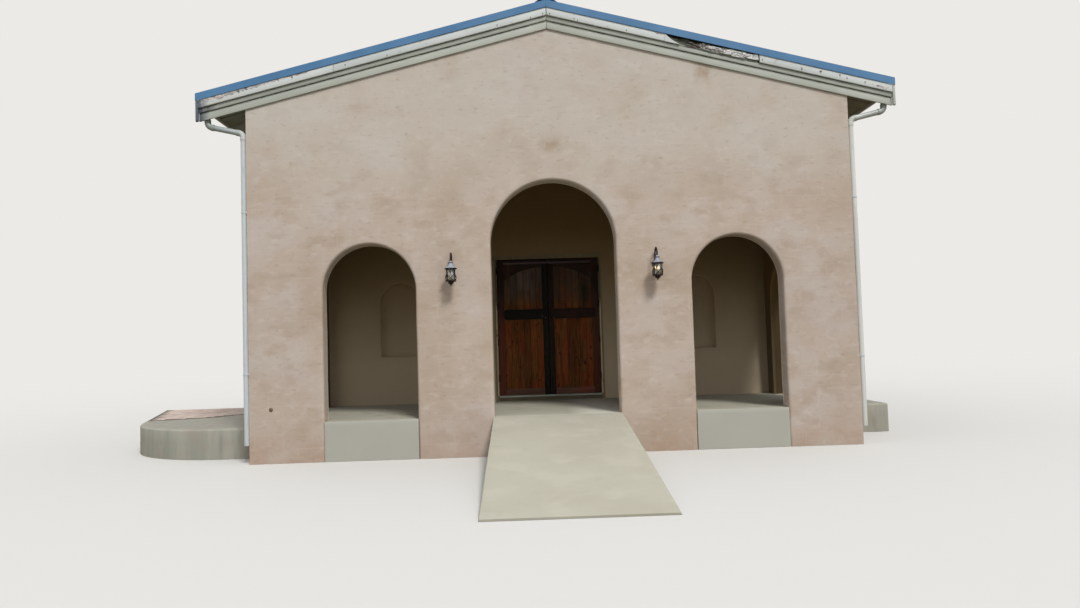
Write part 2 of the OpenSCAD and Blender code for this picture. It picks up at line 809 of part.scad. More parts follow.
module leaf_hinges_left() { leaf_hinges(-1); }
module leaf_hinges_right() { leaf_hinges(1); }

// Pull: a knob on a round plate, on the middle rail beside the meeting edge
module door_pull(side) {
  x = door_w / 2 - leaf_gap - leaf_w + meeting_w / 2;
  color("#2a2622") on_side(side) translate([x, leaf_y - mid_rail_out, leaf_z + mid_rail_z])
    rotate([90, 0, 0]) {
      cylinder(r = rose_r, h = rose_t);
      cylinder(r = knob_neck_r, h = knob_out);
      translate([0, 0, knob_out]) sphere(r = knob_r);
    }
}

module door_pull_left() { door_pull(-1); }
module door_pull_right() { door_pull(1); }

// Lanterns

// Roof flared like a bell, with its rim at z = 0, a ring round the neck and a small dome
module lantern_roof() {
  flare_w = (bell_w - bell_neck_w) / 2;
  flare_h = bell_h - bell_rim;
  flare_r = (pow(flare_w, 2) + pow(flare_h, 2)) / (2 * flare_w);
  rotate_extrude() difference() {
    square([bell_w / 2, bell_h]);
    translate([bell_neck_w / 2 + flare_r, bell_h]) circle(r = flare_r);
  }
  translate([0, 0, bell_h - bell_rim]) cylinder(r = neck_ring_r, h = bell_rim);
  translate([0, 0, bell_h]) sphere(r = dome_r);
}

// Top and bottom rings joined by four posts that lean in
module lantern_cage() {
  top_r = cage_top_w / 2;
  foot_r = cage_foot_w / 2;
  translate([0, 0, -cage_bar]) cylinder(r = top_r, h = cage_bar);
  translate([0, 0, -cage_h - cage_bar]) cylinder(r = foot_r, h = cage_bar);
  for (a = [45 : 90 : 315]) rotate([0, 0, a]) rotate([90, 0, 0]) translate([0, 0, -cage_bar / 2])
    linear_extrude(cage_bar) polygon([
      [foot_r - cage_bar, -cage_h - eps], [foot_r, -cage_h - eps], [top_r, 0], [top_r - cage_bar, 0]
    ]);
}

// Half-round bowl under the cage, and the ball at its foot
module lantern_bowl() {
  translate([0, 0, -cage_h - cage_bar]) {
    rotate_extrude() intersection() {
      circle(r = bowl_r);
      translate([0, -bowl_r]) square([bowl_r, bowl_r]);
    }
    translate([0, 0, -bowl_r - finial_r / 2]) sphere(r = finial_r);
  }
}

// Arm: up from the wall plate, over in a half ring and down to the lantern's dome
module lantern_arm() {
  rod_r = arm_r + rod_extra;
  bend_r = (lantern_out - rod_r - arm_r) / 2;
  spring = arm_top - bend_r - arm_r;
  translate([0, 0, bell_h]) cylinder(r = rod_r, h = spring - bell_h + arm_r);
  translate([0, 2 * bend_r, -wall_plate_r / 2]) cylinder(r = rod_r, h = spring + wall_plate_r / 2 + arm_r);
  translate([0, bend_r, spring]) rotate([90, 0, 90])
    rotate_extrude(angle = 180) translate([bend_r, 0]) circle(r = arm_r);
  translate([0, lantern_out, 0]) rotate([90, 0, 0]) cylinder(r = wall_plate_r, h = wall_plate_t);
}

// Lantern about its axis, rim at z = 0, wall's face at y = lantern_out
module lantern(side) {
  color("#55524a") translate([side * lantern_x, face_y - lantern_out, lantern_z]) {
    lantern_roof();
    lantern_cage();
    lantern_bowl();
    lantern_arm();
  }
}

module lantern_left() { lantern(-1); }
module lantern_right() { lantern(1); }

module lantern_glass(side) {
  inset = cage_bar + glass_gap;
  color("#d8d8c8", 0.4) translate([side * lantern_x, face_y - lantern_out, lantern_z - cage_h])
    cylinder(r1 = cage_foot_w / 2 - inset, r2 = cage_top_w / 2 - inset, h = cage_h - cage_bar);
}

module lantern_glass_left() { lantern_glass(-1); }
module lantern_glass_right() { lantern_glass(1); }

// Windows of the nave

module window_outline(w, h) {
  spring = h - w / 2;
  translate([-w / 2, 0]) square([w, spring]);
  translate([0, spring]) circle(d = w);
}

module pane_outline() {
  translate([0, window_member])
    window_outline(window_w - 2 * window_member, window_h - 2 * window_member);
}

// Outline drawn in every window, at a distance behind the wall's face and with a depth
module at_windows(inset, d) {
  for (s = [-1, 1], y = window_ys)
    on_side(s) translate([half_w - inset, y, floor_z + window_sill]) rotate([90, 0, -90])
      linear_extrude(d) children();
}

module window_frames() {
  color("#cfcabb") at_windows(window_inset, window_frame_d) difference() {
    window_outline(window_w, window_h);
    pane_outline();
  }
}

module window_glass() {
  color("#9fb3b8", 0.5) at_windows(window_inset + (window_frame_d - window_glass_t) / 2, window_glass_t)
    pane_outline();
}

// Ramp and stoops

module ramp() {
  color("#c6c1b0") translate([-ramp_w / 2, 0, 0]) rotate([90, 0, 90]) linear_extrude(ramp_w) polygon([
    [face_y, 0], [face_y, floor_z], [face_y - ramp_l, ramp_lip], [face_y - ramp_l, 0]
  ]);
}

// Landing against the left wall: its front corner is round and its outer side splays out to the back
module stoop_left() {
  front = face_y + left_stoop_front;
  back = face_y + left_stoop_back;
  middle = [-half_w - left_stoop_x, front + left_stoop_r];
  side = middle - left_stoop_r * [cos(left_stoop_splay), sin(left_stoop_splay)];
  corner = side + (side[1] - front) * [tan(left_stoop_splay), -1];
  back_corner = side - (back - side[1]) * [tan(left_stoop_splay), -1];
  color("#b5b1a4") linear_extrude(stoop_z) difference() {
    polygon([corner, back_corner, [-half_w, back], [-half_w, front]]);
    difference() {
      polygon([for (p = [middle, side, corner, [middle[0], front]]) 2 * p - middle]);
      translate(middle) circle(r = left_stoop_r, $fn = 180);
    }
  }
}

module stoop_right() {
  reach_y = end_arch_w / 2 + right_stoop_side;
  color("#b5b1a4")
    block([half_w, end_arch_y - reach_y, 0], [half_w + right_stoop_x, end_arch_y + reach_y, stoop_z]);
}

front_wall();
porch_end_wall_left();
porch_end_wall_right();
back_wall_left();
back_wall_right();
back_wall_over_door();
side_wall_left();
side_wall_right();
rear_wall();
floor_slab();
ceiling();
roof_deck_left();
roof_deck_right();
roof_sheet_left();
roof_sheet_right();
ridge_cap();
rake_trim_left();
rake_trim_right();
rake_boards_left();
rake_boards_right();
eave_board_left();
eave_board_right();
soffit_left();
soffit_right();
gutter_left();
gutter_right();
downspout_left();
downspout_right();
door_jamb_left();
door_jamb_right();
door_head();
door_threshold();
door_leaf_left();
door_leaf_right();
frame_hinges();
leaf_hinges_left();
leaf_hinges_right();
door_pull_left();
door_pull_right();
lantern_left();
lantern_right();
lantern_glass_left();
lantern_glass_right();
window_frames();
window_glass();
ramp();
stoop_left();
stoop_right();
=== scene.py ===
"""Small chapel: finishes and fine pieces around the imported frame.

Metres, in the frame's own axes: X along the front, Y into the building, Z up from the lowest ground.
"""

import logging
import math
import random
from dataclasses import dataclass, field, replace
from enum import Enum
from typing import Any, Callable, Iterable, Sequence

import bmesh
import bpy
from mathutils import Matrix, Vector, noise
from mathutils.bvhtree import BVHTree


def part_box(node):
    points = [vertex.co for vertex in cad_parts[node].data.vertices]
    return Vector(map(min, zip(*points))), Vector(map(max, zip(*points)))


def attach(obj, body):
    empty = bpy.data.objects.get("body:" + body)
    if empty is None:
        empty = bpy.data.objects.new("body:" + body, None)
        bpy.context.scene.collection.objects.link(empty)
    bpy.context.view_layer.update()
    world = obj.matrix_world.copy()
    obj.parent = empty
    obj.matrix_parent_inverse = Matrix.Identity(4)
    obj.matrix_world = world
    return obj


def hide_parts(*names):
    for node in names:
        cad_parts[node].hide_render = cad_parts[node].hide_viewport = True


Tree = bpy.types.NodeTree
Socket = bpy.types.NodeSocket
Span = tuple[float, float]
Triple = tuple[float, float, float]

LOG = logging.getLogger("chapel")
GABLE_SLOPE = 0.25
X, Y, Z = Vector((1, 0, 0)), Vector((0, 1, 0)), Vector((0, 0, 1))
LYING = Matrix.Rotation(math.radians(90), 4, "X")
MM = 0.001
WAVE_SEED = 3
# What each board's number adds to the one before, so that neighbours differ.
GOLDEN = 0.618034
# How far apart the patterns of coats, of reliefs and of boards are read, and where that of courses is.
COAT_SHIFT, RELIEF_SHIFT, COURSE_SHIFT = 3.7, 11.3, 8.1
BOARD_SHIFT = (7.3, 3.1, 5.7)
# What clear glass leaves of the light that goes through it: red, green and blue.
GLASS_TINT = (0.94, 0.96, 0.95, 1)
# The share of a stretch over which a coat shows wholly, before it fades.
WHOLE_SHARE = 0.3
# Edges that turn by more than this are rounded: on pieces that are built, and on copied nodes.
SHARP_BUILT, SHARP_COPIED = math.radians(40), math.radians(60)

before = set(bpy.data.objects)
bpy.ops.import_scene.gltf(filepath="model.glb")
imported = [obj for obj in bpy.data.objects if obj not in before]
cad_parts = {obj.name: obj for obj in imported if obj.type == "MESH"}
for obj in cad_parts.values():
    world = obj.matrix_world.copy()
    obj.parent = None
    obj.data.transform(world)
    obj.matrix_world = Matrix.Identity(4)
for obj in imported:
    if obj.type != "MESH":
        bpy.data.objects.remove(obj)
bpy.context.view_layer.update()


class Side(Enum):
    """One half of the building, by the sign of its X."""

    LEFT = -1
    RIGHT = 1

    @property
    def word(self) -> str:
        """The side's name as the nodes spell it."""
        return self.name.lower()

    def ends(self, near: float, far: float) -> Span:
        """Lowest and highest X of a stretch given by distances from the middle."""
        low, high = sorted((self.value * near, self.value * far))
        return low, high


class Body(str, Enum):
    """The bodies that pieces ride on."""

    BUILDING = "building"
    DOOR_LEFT = "door_left"
    DOOR_RIGHT = "door_right"


class Axis(Enum):
    """An axis of the frame."""

    X = 0
    Y = 1
    Z = 2


def distances(node: str) -> Span:
    """Nearest and farthest distance of a node of one side from the building's middle."""
    near, far = sorted(abs(corner.x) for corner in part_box(node))
    return near, far


def arc(first: float, last: float, steps: int) -> list[Span]:
    """Finds evenly spaced points of a circle of radius 1.

    Args:
        first: Angle of the first point, in degrees.
        last: Angle of the last point.
        steps: The stretches between them.

    Returns:
        Cosine and sine of each point's angle.
    """
    angles = [math.radians(first + (last - first) * step / steps) for step in range(steps + 1)]
    return [(math.cos(a), math.sin(a)) for a in angles]


def linear(hex_colour: str) -> tuple[float, float, float, float]:
    """Turns an sRGB colour into the linear one that the shaders take.

    Args:
        hex_colour: The colour as "#rrggbb".

    Returns:
        Red, green, blue and a full alpha.
    """
    parts = [int(hex_colour[i:i + 2], 16) / 255 for i in (1, 3, 5)]
    red, green, blue = (p / 12.92 if p <= 0.04045 else ((p + 0.055) / 1.055) ** 2.4 for p in parts)
    return red, green, blue, 1.0


def add_node(tree: Tree, kind: str, inputs: dict[Any, Any] | None = None, **settings: Any) -> bpy.types.Node:
    """Adds a node to a tree with its settings, values and links.

    Args:
        tree: The node tree.
        kind: The node's type.
        inputs: For an input's name or number, the value to set or the socket to link.
        **settings: The node's own properties.

    Returns:
        The new node.
    """
    node = tree.nodes.new(kind)
    for name, value in settings.items():
        setattr(node, name, value)
    for name, value in (inputs or {}).items():
        if isinstance(value, Socket):
            tree.links.new(value, node.inputs[name])
        else:
            node.inputs[name].default_value = value
    return node


def add_object(name: str, data: bpy.types.ID) -> bpy.types.Object:
    """Puts a mesh, a lamp or a camera into the scene as an object."""
    obj = bpy.data.objects.new(name, data)
    bpy.context.scene.collection.objects.link(obj)
    return obj


# Finishes


@dataclass(frozen=True)
class Reach:
    """Where along one axis a coat shows: wholly at `full`, not at all from `none` on."""

    axis: Axis
    full: float
    none: float


def around(axis: Axis, middle: float, half: float) -> tuple[Reach, Reach]:
    """Limits a coat to a stretch of an axis, which it fades out of both ways.

    Args:
        axis: The axis.
        middle: Where the coat is strongest.
        half: Distance from there to where it ends.

    Returns:
        The reach to each side.
    """
    whole = WHOLE_SHARE * half
    return Reach(axis, middle + whole, middle + half), Reach(axis, middle - whole, middle - half)


@dataclass(frozen=True)
class Coat:
    """A colour laid over a finish through a mask of broken patches."""

    colour: str
    size_mm: float
    low: float = 0.45
    high: float = 0.6
    amount: float = 0.5
    stretch: Triple = (1, 1, 1)
    detail: float = 4.0
    warp: float = 0.0
    reaches: tuple[Reach, ...] = ()


@dataclass(frozen=True)
class Courses:
    """Blocks or bricks under a finish, which show as faint joints and as a tone of their own."""

    length_mm: float
    height_mm: float
    joint_mm: float
    joint: str
    amount: float
    tone: float
    broken_mm: float = 350


@dataclass(frozen=True)
class Relief:
    """Bumps of one size in a finish."""

    size_mm: float
    height_mm: float
    stretch: Triple = (1, 1, 1)
    detail: float = 2.0


@dataclass(frozen=True)
class Finish:
    """A surface: its ground colour, the coats and dirt over it, its relief and its gloss.

    `clear` is the share of light that glass lets through, and `glow` how strongly a bulb shines.
    """

    name: str
    colour: str
    roughness: float = 0.8
    metallic: float = 0.0
    ior: float = 1.5
    coats: tuple[Coat, ...] = ()
    courses: Courses | None = None
    reliefs: tuple[Relief, ...] = ()
    board_tone: float = 0.0
    clear: float = 0.0
    glow: float = 0.0

    def material(self) -> bpy.types.Material:
        """The finish's material, made the first time it is asked for."""
        found = bpy.data.materials.get(self.name)
        if found:
            return found
        material = bpy.data.materials.new(self.name)
        material.use_nodes = True
        tree = material.node_tree
        tree.nodes.clear()
        place = self.place(tree)
        shader = self.shader(tree, self.colours(tree, place), self.relief(tree, place))
        add_node(tree, "ShaderNodeOutputMaterial", {"Surface": shader})
        return material

    def place(self, tree: Tree) -> Socket:
        """Gives the coordinates that the patterns read, moved on from board to board.

        Args:
            tree: The node tree.

        Returns:
            A vector socket, in metres.
        """
        place = add_node(tree, "ShaderNodeTexCoord").outputs["Object"]
        if self.board_tone:
            board = add_node(tree, "ShaderNodeAttribute", attribute_name="board").outputs["Fac"]
            shift = {0: board, 1: BOARD_SHIFT, 2: place}
            place = add_node(tree, "ShaderNodeVectorMath", shift, operation="MULTIPLY_ADD").outputs[0]
        return place

    def pattern(self, tree: Tree, place: Socket, layer: Coat | Relief, shift: float) -> Socket:
        """Makes the noise of one coat or relief at its real size.

        Args:
            tree: The node tree.
            place: The coordinates.
            layer: The coat or relief.
            shift: How far it is moved on, which sets it apart from the others.

        Returns:
            A value socket around one half.
        """
        scale = [1 / (layer.size_mm * MM * s) for s in layer.stretch]
        moved = {"Vector": place, "Scale": scale, "Location": (shift, shift, shift)}
        mapped = add_node(tree, "ShaderNodeMapping", moved)
        settings = {"Vector": mapped.outputs[0], "Scale": 1.0, "Detail": layer.detail}
        if isinstance(layer, Coat):
            settings["Distortion"] = layer.warp
        return add_node(tree, "ShaderNodeTexNoise", settings).outputs["Fac"]

    def patches(self, tree: Tree, place: Socket, coat: Coat, shift: float) -> Socket:
        """Makes the mask of a coat's broken patches.

        Args:
            tree: The node tree.
            place: The coordinates.
            coat: The coat.
            shift: How far its pattern is moved on.

        Returns:
            A value socket from 0 to the coat's amount.
        """
        fac = self.pattern(tree, place, coat, shift)
        steps = {"Value": fac, "From Min": coat.low, "From Max": coat.high, "To Max": coat.amount}
        return add_node(tree, "ShaderNodeMapRange", steps).outputs[0]

    def toned(self, tree: Tree, value: Socket, spread: float, colour: Socket) -> Socket:
        """Darkens and lightens a colour by a value from 0 to 1.

        Args:
            tree: The node tree.
            value: The value socket.
            spread: How far the tone goes both ways.
            colour: The colour socket.

        Returns:
            The colour socket.
        """
        steps = {"Value": value, "To Min": 1 - spread, "To Max": 1 + spread}
        tone = add_node(tree, "ShaderNodeMapRange", steps).outputs[0]
        return add_node(tree, "ShaderNodeHueSaturation", {"Value": tone, "Color": colour}).outputs[0]

    def colours(self, tree: Tree, place: Socket) -> Socket:
        """Lays the coats over the ground colour.

        Args:
            tree: The node tree.
            place: The coordinates.

        Returns:
            The colour socket.
        """
        colour = linear(self.colour)
        for number, coat in enumerate(self.coats):
            mask = self.patches(tree, place, coat, COAT_SHIFT * number)
            for reach in coat.reaches:
                mask = self.limited(tree, mask, reach)
            mix = {0: mask, 6: colour, 7: linear(coat.colour)}
            colour = add_node(tree, "ShaderNodeMix", mix, data_type="RGBA").outputs[2]
        if self.courses:
            colour = self.coursed(tree, place, colour)
        if self.board_tone:
            board = add_node(tree, "ShaderNodeAttribute", attribute_name="board").outputs["Fac"]
            colour = self.toned(tree, board, self.board_tone, colour)
        return colour

    def coursed(self, tree: Tree, place: Socket, colour: Socket) -> Socket:
        """Lets the courses show through: each block's own tone and broken joints.

        Args:
            tree: The node tree.
            place: The coordinates.
            colour: The colour so far.

        Returns:
            The colour socket.
        """
        across = add_node(tree, "ShaderNodeSeparateXYZ", {0: place}).outputs
        along = add_node(tree, "ShaderNodeMath", {0: across[0], 1: across[1]}, operation="ADD").outputs[0]
        flat = add_node(tree, "ShaderNodeCombineXYZ", {0: along, 1: across[2]}).outputs[0]
        courses = self.courses
        inputs = {"Vector": flat, "Scale": 1.0, "Color1": (0, 0, 0, 1), "Color2": (1, 1, 1, 1)}
        inputs |= {"Mortar": (0.5, 0.5, 0.5, 1), "Mortar Size": courses.joint_mm * MM, "Mortar Smooth": 1.0}
        inputs |= {"Brick Width": courses.length_mm * MM, "Row Height": courses.height_mm * MM}
        blocks = add_node(tree, "ShaderNodeTexBrick", inputs).outputs
        toned = self.toned(tree, blocks["Color"], courses.tone, colour)
        broken = Coat(courses.joint, courses.broken_mm, amount=courses.amount)
        share = self.patches(tree, place, broken, COURSE_SHIFT)
        mask = add_node(tree, "ShaderNodeMath", {0: share, 1: blocks["Fac"]}, operation="MULTIPLY").outputs[0]
        mix = {0: mask, 6: toned, 7: linear(courses.joint)}
        return add_node(tree, "ShaderNodeMix", mix, data_type="RGBA").outputs[2]

    def limited(self, tree: Tree, mask: Socket, reach: Reach) -> Socket:
        """Fades a mask out along an axis.

        Args:
            tree: The node tree.
            mask: The mask to fade.
            reach: Where it shows.

        Returns:
            The faded mask.
        """
        place = add_node(tree, "ShaderNodeTexCoord").outputs["Object"]
        along = add_node(tree, "ShaderNodeSeparateXYZ", {0: place}).outputs[reach.axis.value]
        steps = {"Value": along, "From Min": reach.none, "From Max": reach.full}
        share = add_node(tree, "ShaderNodeMapRange", steps).outputs[0]
        return add_node(tree, "ShaderNodeMath", {0: mask, 1: share}, operation="MULTIPLY").outputs[0]

    def relief(self, tree: Tree, place: Socket) -> Socket | None:
        """Adds up the reliefs as bumps.

        Args:
            tree: The node tree.
            place: The coordinates.

        Returns:
            The normal socket, or None on a smooth finish.
        """
        normal = None
        for number, relief in enumerate(self.reliefs):
            height = self.pattern(tree, place, relief, RELIEF_SHIFT * number)
            bump = {"Height": height, "Distance": relief.height_mm * MM}
            if normal:
                bump["Normal"] = normal
            normal = add_node(tree, "ShaderNodeBump", bump).outputs[0]
        return normal

    def shader(self, tree: Tree, colour: Socket, normal: Socket | None) -> Socket:
        """Makes the surface shader.

        Args:
            tree: The node tree.
            colour: The colour socket, or a plain colour.
            normal: The bumped normal, if there is one.

        Returns:
            The shader socket.
        """
        inputs = {"Base Color": colour, "Roughness": self.roughness, "Metallic": self.metallic}
        if not self.metallic:
            inputs["IOR"] = self.ior
        if normal:
            inputs["Normal"] = normal
        if self.glow:
            inputs |= {"Emission Color": linear(self.colour), "Emission Strength": self.glow}
        surface = add_node(tree, "ShaderNodeBsdfPrincipled", inputs).outputs[0]
        if self.clear:
            through = add_node(tree, "ShaderNodeBsdfTransparent", {"Color": GLASS_TINT}).outputs[0]
            mix = {0: self.clear, 1: surface, 2: through}
            surface = add_node(tree, "ShaderNodeMixShader", mix).outputs[0]
        return surface


# Sand-and-cement render floated by hand over concrete blocks: dead matt beige, tan where it dried
# slowly and greyer pink where it was washed, with small level sweeps of the float, the faintest ghost
# of the block courses and red soil splashed up its foot. It is paler high up and browner below, a pale
# line of painted highlight runs round the arches' inner arris, and two brown stains show over them.
STUCCO = Finish(
    "floated_stucco", "#c5b6a7", roughness=0.95, ior=1.2,
    coats=(
        Coat("#b9a48f", 950, 0.42, 0.66, 0.7),
        Coat("#cbc0b7", 700, 0.48, 0.68, 0.7, (1.5, 1.5, 1)),
        Coat("#af9b87", 260, 0.50, 0.68, 0.5, (1.5, 1.5, 1), detail=5),
        Coat("#ccc5b9", 800, 0.2, 0.5, 0.6, reaches=(Reach(Axis.Z, 4.7, 3.5),)),
        Coat("#b09b88", 800, 0.2, 0.6, 0.3, reaches=(Reach(Axis.Z, 2.4, 3.5),)),
        Coat("#d6ccc1", 90, 0.54, 0.76, 0.36, (1.8, 1.8, 1), detail=5),
        Coat("#9d8977", 55, 0.58, 0.74, 0.38, (2, 2, 0.8), detail=5),
        Coat("#b5907a", 300, 0.35, 0.6, 0.4, reaches=(Reach(Axis.Z, 0.0, 0.5),)),
        # Painted highlight: a pale line where the arches' inner arris catches the light.
        Coat("#efe6da", 120, 0.2, 0.4, 0.8, reaches=around(Axis.Y, 0.116, 0.018)),
        Coat(
            "#a08468", 120, 0.3, 0.55, 0.5,
            reaches=around(Axis.X, 0.0, 0.20) + around(Axis.Z, 4.42, 0.13),
        ),
        Coat(
            "#a08468", 90, 0.3, 0.55, 0.5,
            reaches=around(Axis.X, 2.26, 0.16) + around(Axis.Z, 5.46, 0.22),
        ),
    ),
    courses=Courses(400, 200, 14, "#d6ccc0", 0.16, 0.01),
    reliefs=(Relief(260, 3.0), Relief(60, 1.2), Relief(14, 0.8)),
)
# The same render inside the porch with painted shade: a yellower tone all over, and brown that
# darkens it more and more towards the ceiling.
INDOORS = (Reach(Axis.X, 3.93, 4.2), Reach(Axis.X, -3.93, -4.2))
SHADED_PORCH_STUCCO = replace(
    STUCCO, name="porch_stucco_painted_shade", courses=None,
    coats=STUCCO.coats + (
        # Painted shade: a yellower tone inside the porch, and brown growing towards the ceiling.
        Coat("#c3b293", 900, 0.0, 0.1, 0.8, reaches=INDOORS),
        Coat("#8a6e42", 900, 0.0, 0.1, 0.9, reaches=(*INDOORS, Reach(Axis.Z, 3.6, 1.2))),
    ),
)
# The porch's end walls, with the most painted shade: browner still, down to the floor, darkest in
# the thickness of their openings, and browner towards the ceiling. Their outer faces keep the front's own
# tone.
IN_RIGHT, IN_LEFT = Reach(Axis.X, 4.28, 4.335), Reach(Axis.X, -4.28, -4.335)
SHADED_END_STUCCO = replace(
    STUCCO, name="end_stucco_painted_shade", courses=None,
    coats=STUCCO.coats + (
        # Painted shade over the porch's inner faces, deepest in the openings' thickness.
        Coat("#65573f", 900, 0.0, 0.1, 0.95, reaches=(IN_RIGHT, IN_LEFT)),
        Coat("#4c3f29", 900, 0.0, 0.1, 0.95, reaches=(Reach(Axis.X, 3.98, 3.93), IN_RIGHT)),
        Coat("#4c3f29", 900, 0.0, 0.1, 0.95, reaches=(Reach(Axis.X, -3.98, -3.93), IN_LEFT)),
        Coat("#8a6e42", 900, 0.0, 0.1, 0.8, reaches=(*INDOORS, Reach(Axis.Z, 3.2, 1.2))),
    ),
)
# Ready-mixed concrete with a steel-trowelled top: pale yellowish grey, smooth and dusty.
CONCRETE = Finish(
    "trowelled_concrete", "#b1ad9c", roughness=0.92, ior=1.25,
    coats=(
        Coat("#a9a493", 1100, 0.42, 0.62, 0.6),
        Coat("#b9b5a6", 420, 0.5, 0.66, 0.5, detail=3),
        Coat("#9f9a8a", 160, 0.60, 0.74, 0.25, detail=3),
    ),
    reliefs=(Relief(180, 1.5), Relief(9, 0.5, (4, 1, 1))),
)
# The porch's floor: the same concrete, darker and blotched inside the arches' faces, partly dirt and
# partly painted shade, with a paler front lip and a paler patch of painted light on the middle arch's floor.
FLOOR_CONCRETE = replace(
    CONCRETE, name="porch_floor_dirt_and_painted_light",
    coats=CONCRETE.coats + (
        # Dirt and painted shade: darker and blotched inside the arches' faces.
        Coat("#a5a290", 700, 0.0, 0.1, 0.5, reaches=(Reach(Axis.Y, 0.25, -0.1),)),
        Coat("#7d7965", 260, 0.56, 0.70, 0.35, reaches=(Reach(Axis.Y, 0.25, -0.1),)),
        Coat("#b9b9ae", 300, 0.0, 0.1, 0.6, reaches=(Reach(Axis.Y, -0.12, -0.10),)),
        # Painted light: a paler patch where the right jamb's shadow falls on the middle arch's floor.
        Coat(
            "#d3d1c1", 500, 0.0, 0.1, 0.7,
            reaches=(*around(Axis.X, 0.62, 0.45), Reach(Axis.Y, -0.02, -0.09)),
        ),
    ),
)
# The step under the doors: brown-grey and scuffed.
STEP_PAINT = Finish(
    "scuffed_step_paint", "#6f6753", roughness=0.85, ior=1.3,
    coats=(Coat("#57503f", 180, 0.42, 0.62, 0.6, (2, 1, 1)), Coat("#857a5f", 60, 0.56, 0.68, 0.4, (3, 1, 1))),
    reliefs=(Relief(40, 0.8),),
)
# Aluminium sill bar, mill finish, dulled to a greenish grey.
SILL_METAL = Finish(
    "dulled_aluminium_sill", "#a9b0a0", roughness=0.55, metallic=0.3,
    coats=(Coat("#7f8e83", 120, 0.45, 0.62, 0.6, (3, 1, 1)), Coat("#c9c7b5", 90, 0.56, 0.68, 0.5, (3, 1, 1))),
)
# Concrete cast against boards and weathered: rain washes dark and pale streaks down its face.
STREAKED_CONCRETE = Finish(
    "weathered_concrete", "#a9a799", roughness=0.92, ior=1.25,
    coats=(
        Coat("#98998c", 160, 0.42, 0.6, 0.5, (1, 1, 7)),
        Coat("#b5b1a3", 200, 0.5, 0.64, 0.55, (1, 1, 5)),
        Coat("#a9988b", 420, 0.52, 0.66, 0.35),
        Coat("#84847b", 60, 0.62, 0.72, 0.3, (1, 1, 9)),
        Coat("#858177", 900, 0.0, 0.1, 0.45, reaches=(Reach(Axis.Z, 0.449, 0.435),)),
    ),
    reliefs=(Relief(160, 1.5), Relief(12, 0.8)),
)
# Fired clay pavers, faded and dusty: pinkish beige with some that stayed red, no two alike.
PAVER_CLAY = Finish(
    "faded_clay_pavers", "#bfab9e", roughness=0.92, ior=1.3, board_tone=0.11,
    coats=(
        Coat("#cdc2b5", 320, 0.42, 0.62, 0.6), Coat("#a07a6a", 420, 0.57, 0.67, 0.6),
        Coat("#cbc3b5", 60, 0.55, 0.68, 0.45),
    ),
    reliefs=(Relief(25, 0.8),),
)
# The lean mortar that the pavers are bedded in, dark with the damp that it holds.
MORTAR_BED = Finish(
    "damp_mortar_bed", "#6b655a", roughness=0.95, ior=1.25,
    coats=(Coat("#4e4941", 45, 0.45, 0.6, 0.7), Coat("#8d8678", 90, 0.56, 0.68, 0.4)),
    reliefs=(Relief(12, 1.0),),
)
# The domed plug of a blind pipe end in the wall, painted over and browned.
PLUG_CLAY = Finish(
    "browned_plug", "#7a6450", roughness=0.8, coats=(Coat("#54422f", 12, 0.5, 0.62, 0.6),),
)
# Steel sheet with a baked polyester coat: an even blue, chalked by the sun, with a low sheen.
ROOF_PAINT = Finish(
    "baked_roof_paint", "#4678a2", roughness=0.45, ior=1.5,
    coats=(
        Coat("#5a8ab2", 700, 0.45, 0.65, 0.45),
        Coat("#3e6c94", 260, 0.52, 0.66, 0.4, (2.5, 1, 1)),
        Coat("#7f9cb3", 60, 0.66, 0.74, 0.25, (3, 1, 1), detail=6),
    ),
    reliefs=(Relief(500, 1.0),),
)
# The roof's screws, with heads coated like the sheets but duller.
SCREW_PAINT = Finish(
    "coated_roof_screws", "#3f6c92", roughness=0.5, coats=(Coat("#6f8ba0", 8, 0.5, 0.65, 0.5),),
)
# Slate blue at the boards' left end, where the gutter's drips have soaked through the paint.
SOAK_ENDS = (Reach(Axis.X, -4.96, -4.84), Reach(Axis.Y, 0.1, 0.6))
SOAK = Coat("#56606b", 60, 0.15, 0.45, 0.9, (1, 1, 2), reaches=SOAK_ENDS)
# Oil paint on softwood boards: chalky off-white, greyed by dirt that gathers in its brush marks.
TRIM_PAINT = Finish(
    "chalked_trim_paint", "#bdc0b4", roughness=0.8, ior=1.4, board_tone=0.03,
    coats=(
        Coat("#acb0a3", 600, 0.45, 0.62, 0.45, (2, 1, 1), detail=3),
        Coat("#cfd0c4", 240, 0.55, 0.68, 0.35, (3, 1, 1), detail=3),
        SOAK,
    ),
    reliefs=(Relief(30, 0.3, (6, 1, 1)),),
)
# The middle strip, greener and darker grey than the boards around it.
MIDDLE_PAINT = replace(
    TRIM_PAINT, name="greened_trim_paint", colour="#adb1a6",
    coats=(
        Coat("#979d90", 500, 0.42, 0.62, 0.5, (2, 1, 1), detail=3),
        Coat("#c2c5b9", 120, 0.56, 0.68, 0.4, (4, 1, 1), detail=3),
        replace(SOAK, colour="#414a54", reaches=(Reach(Axis.X, -4.90, -4.74), Reach(Axis.Y, 0.1, 0.6))),
    ),
)
# The upper board, washed by rain down to a cold white.
UPPER_PAINT = replace(
    TRIM_PAINT, name="washed_trim_paint", colour="#d6dad5",
    coats=(
        Coat("#c3cac6", 500, 0.45, 0.62, 0.5, (2, 1, 1), detail=3),
        Coat("#e3e4db", 240, 0.55, 0.68, 0.4, (3, 1, 1), detail=3),
        Coat("#a9a49c", 60, 0.62, 0.70, 0.4, (2, 1, 1.5), detail=5),
        SOAK,
    ),
)
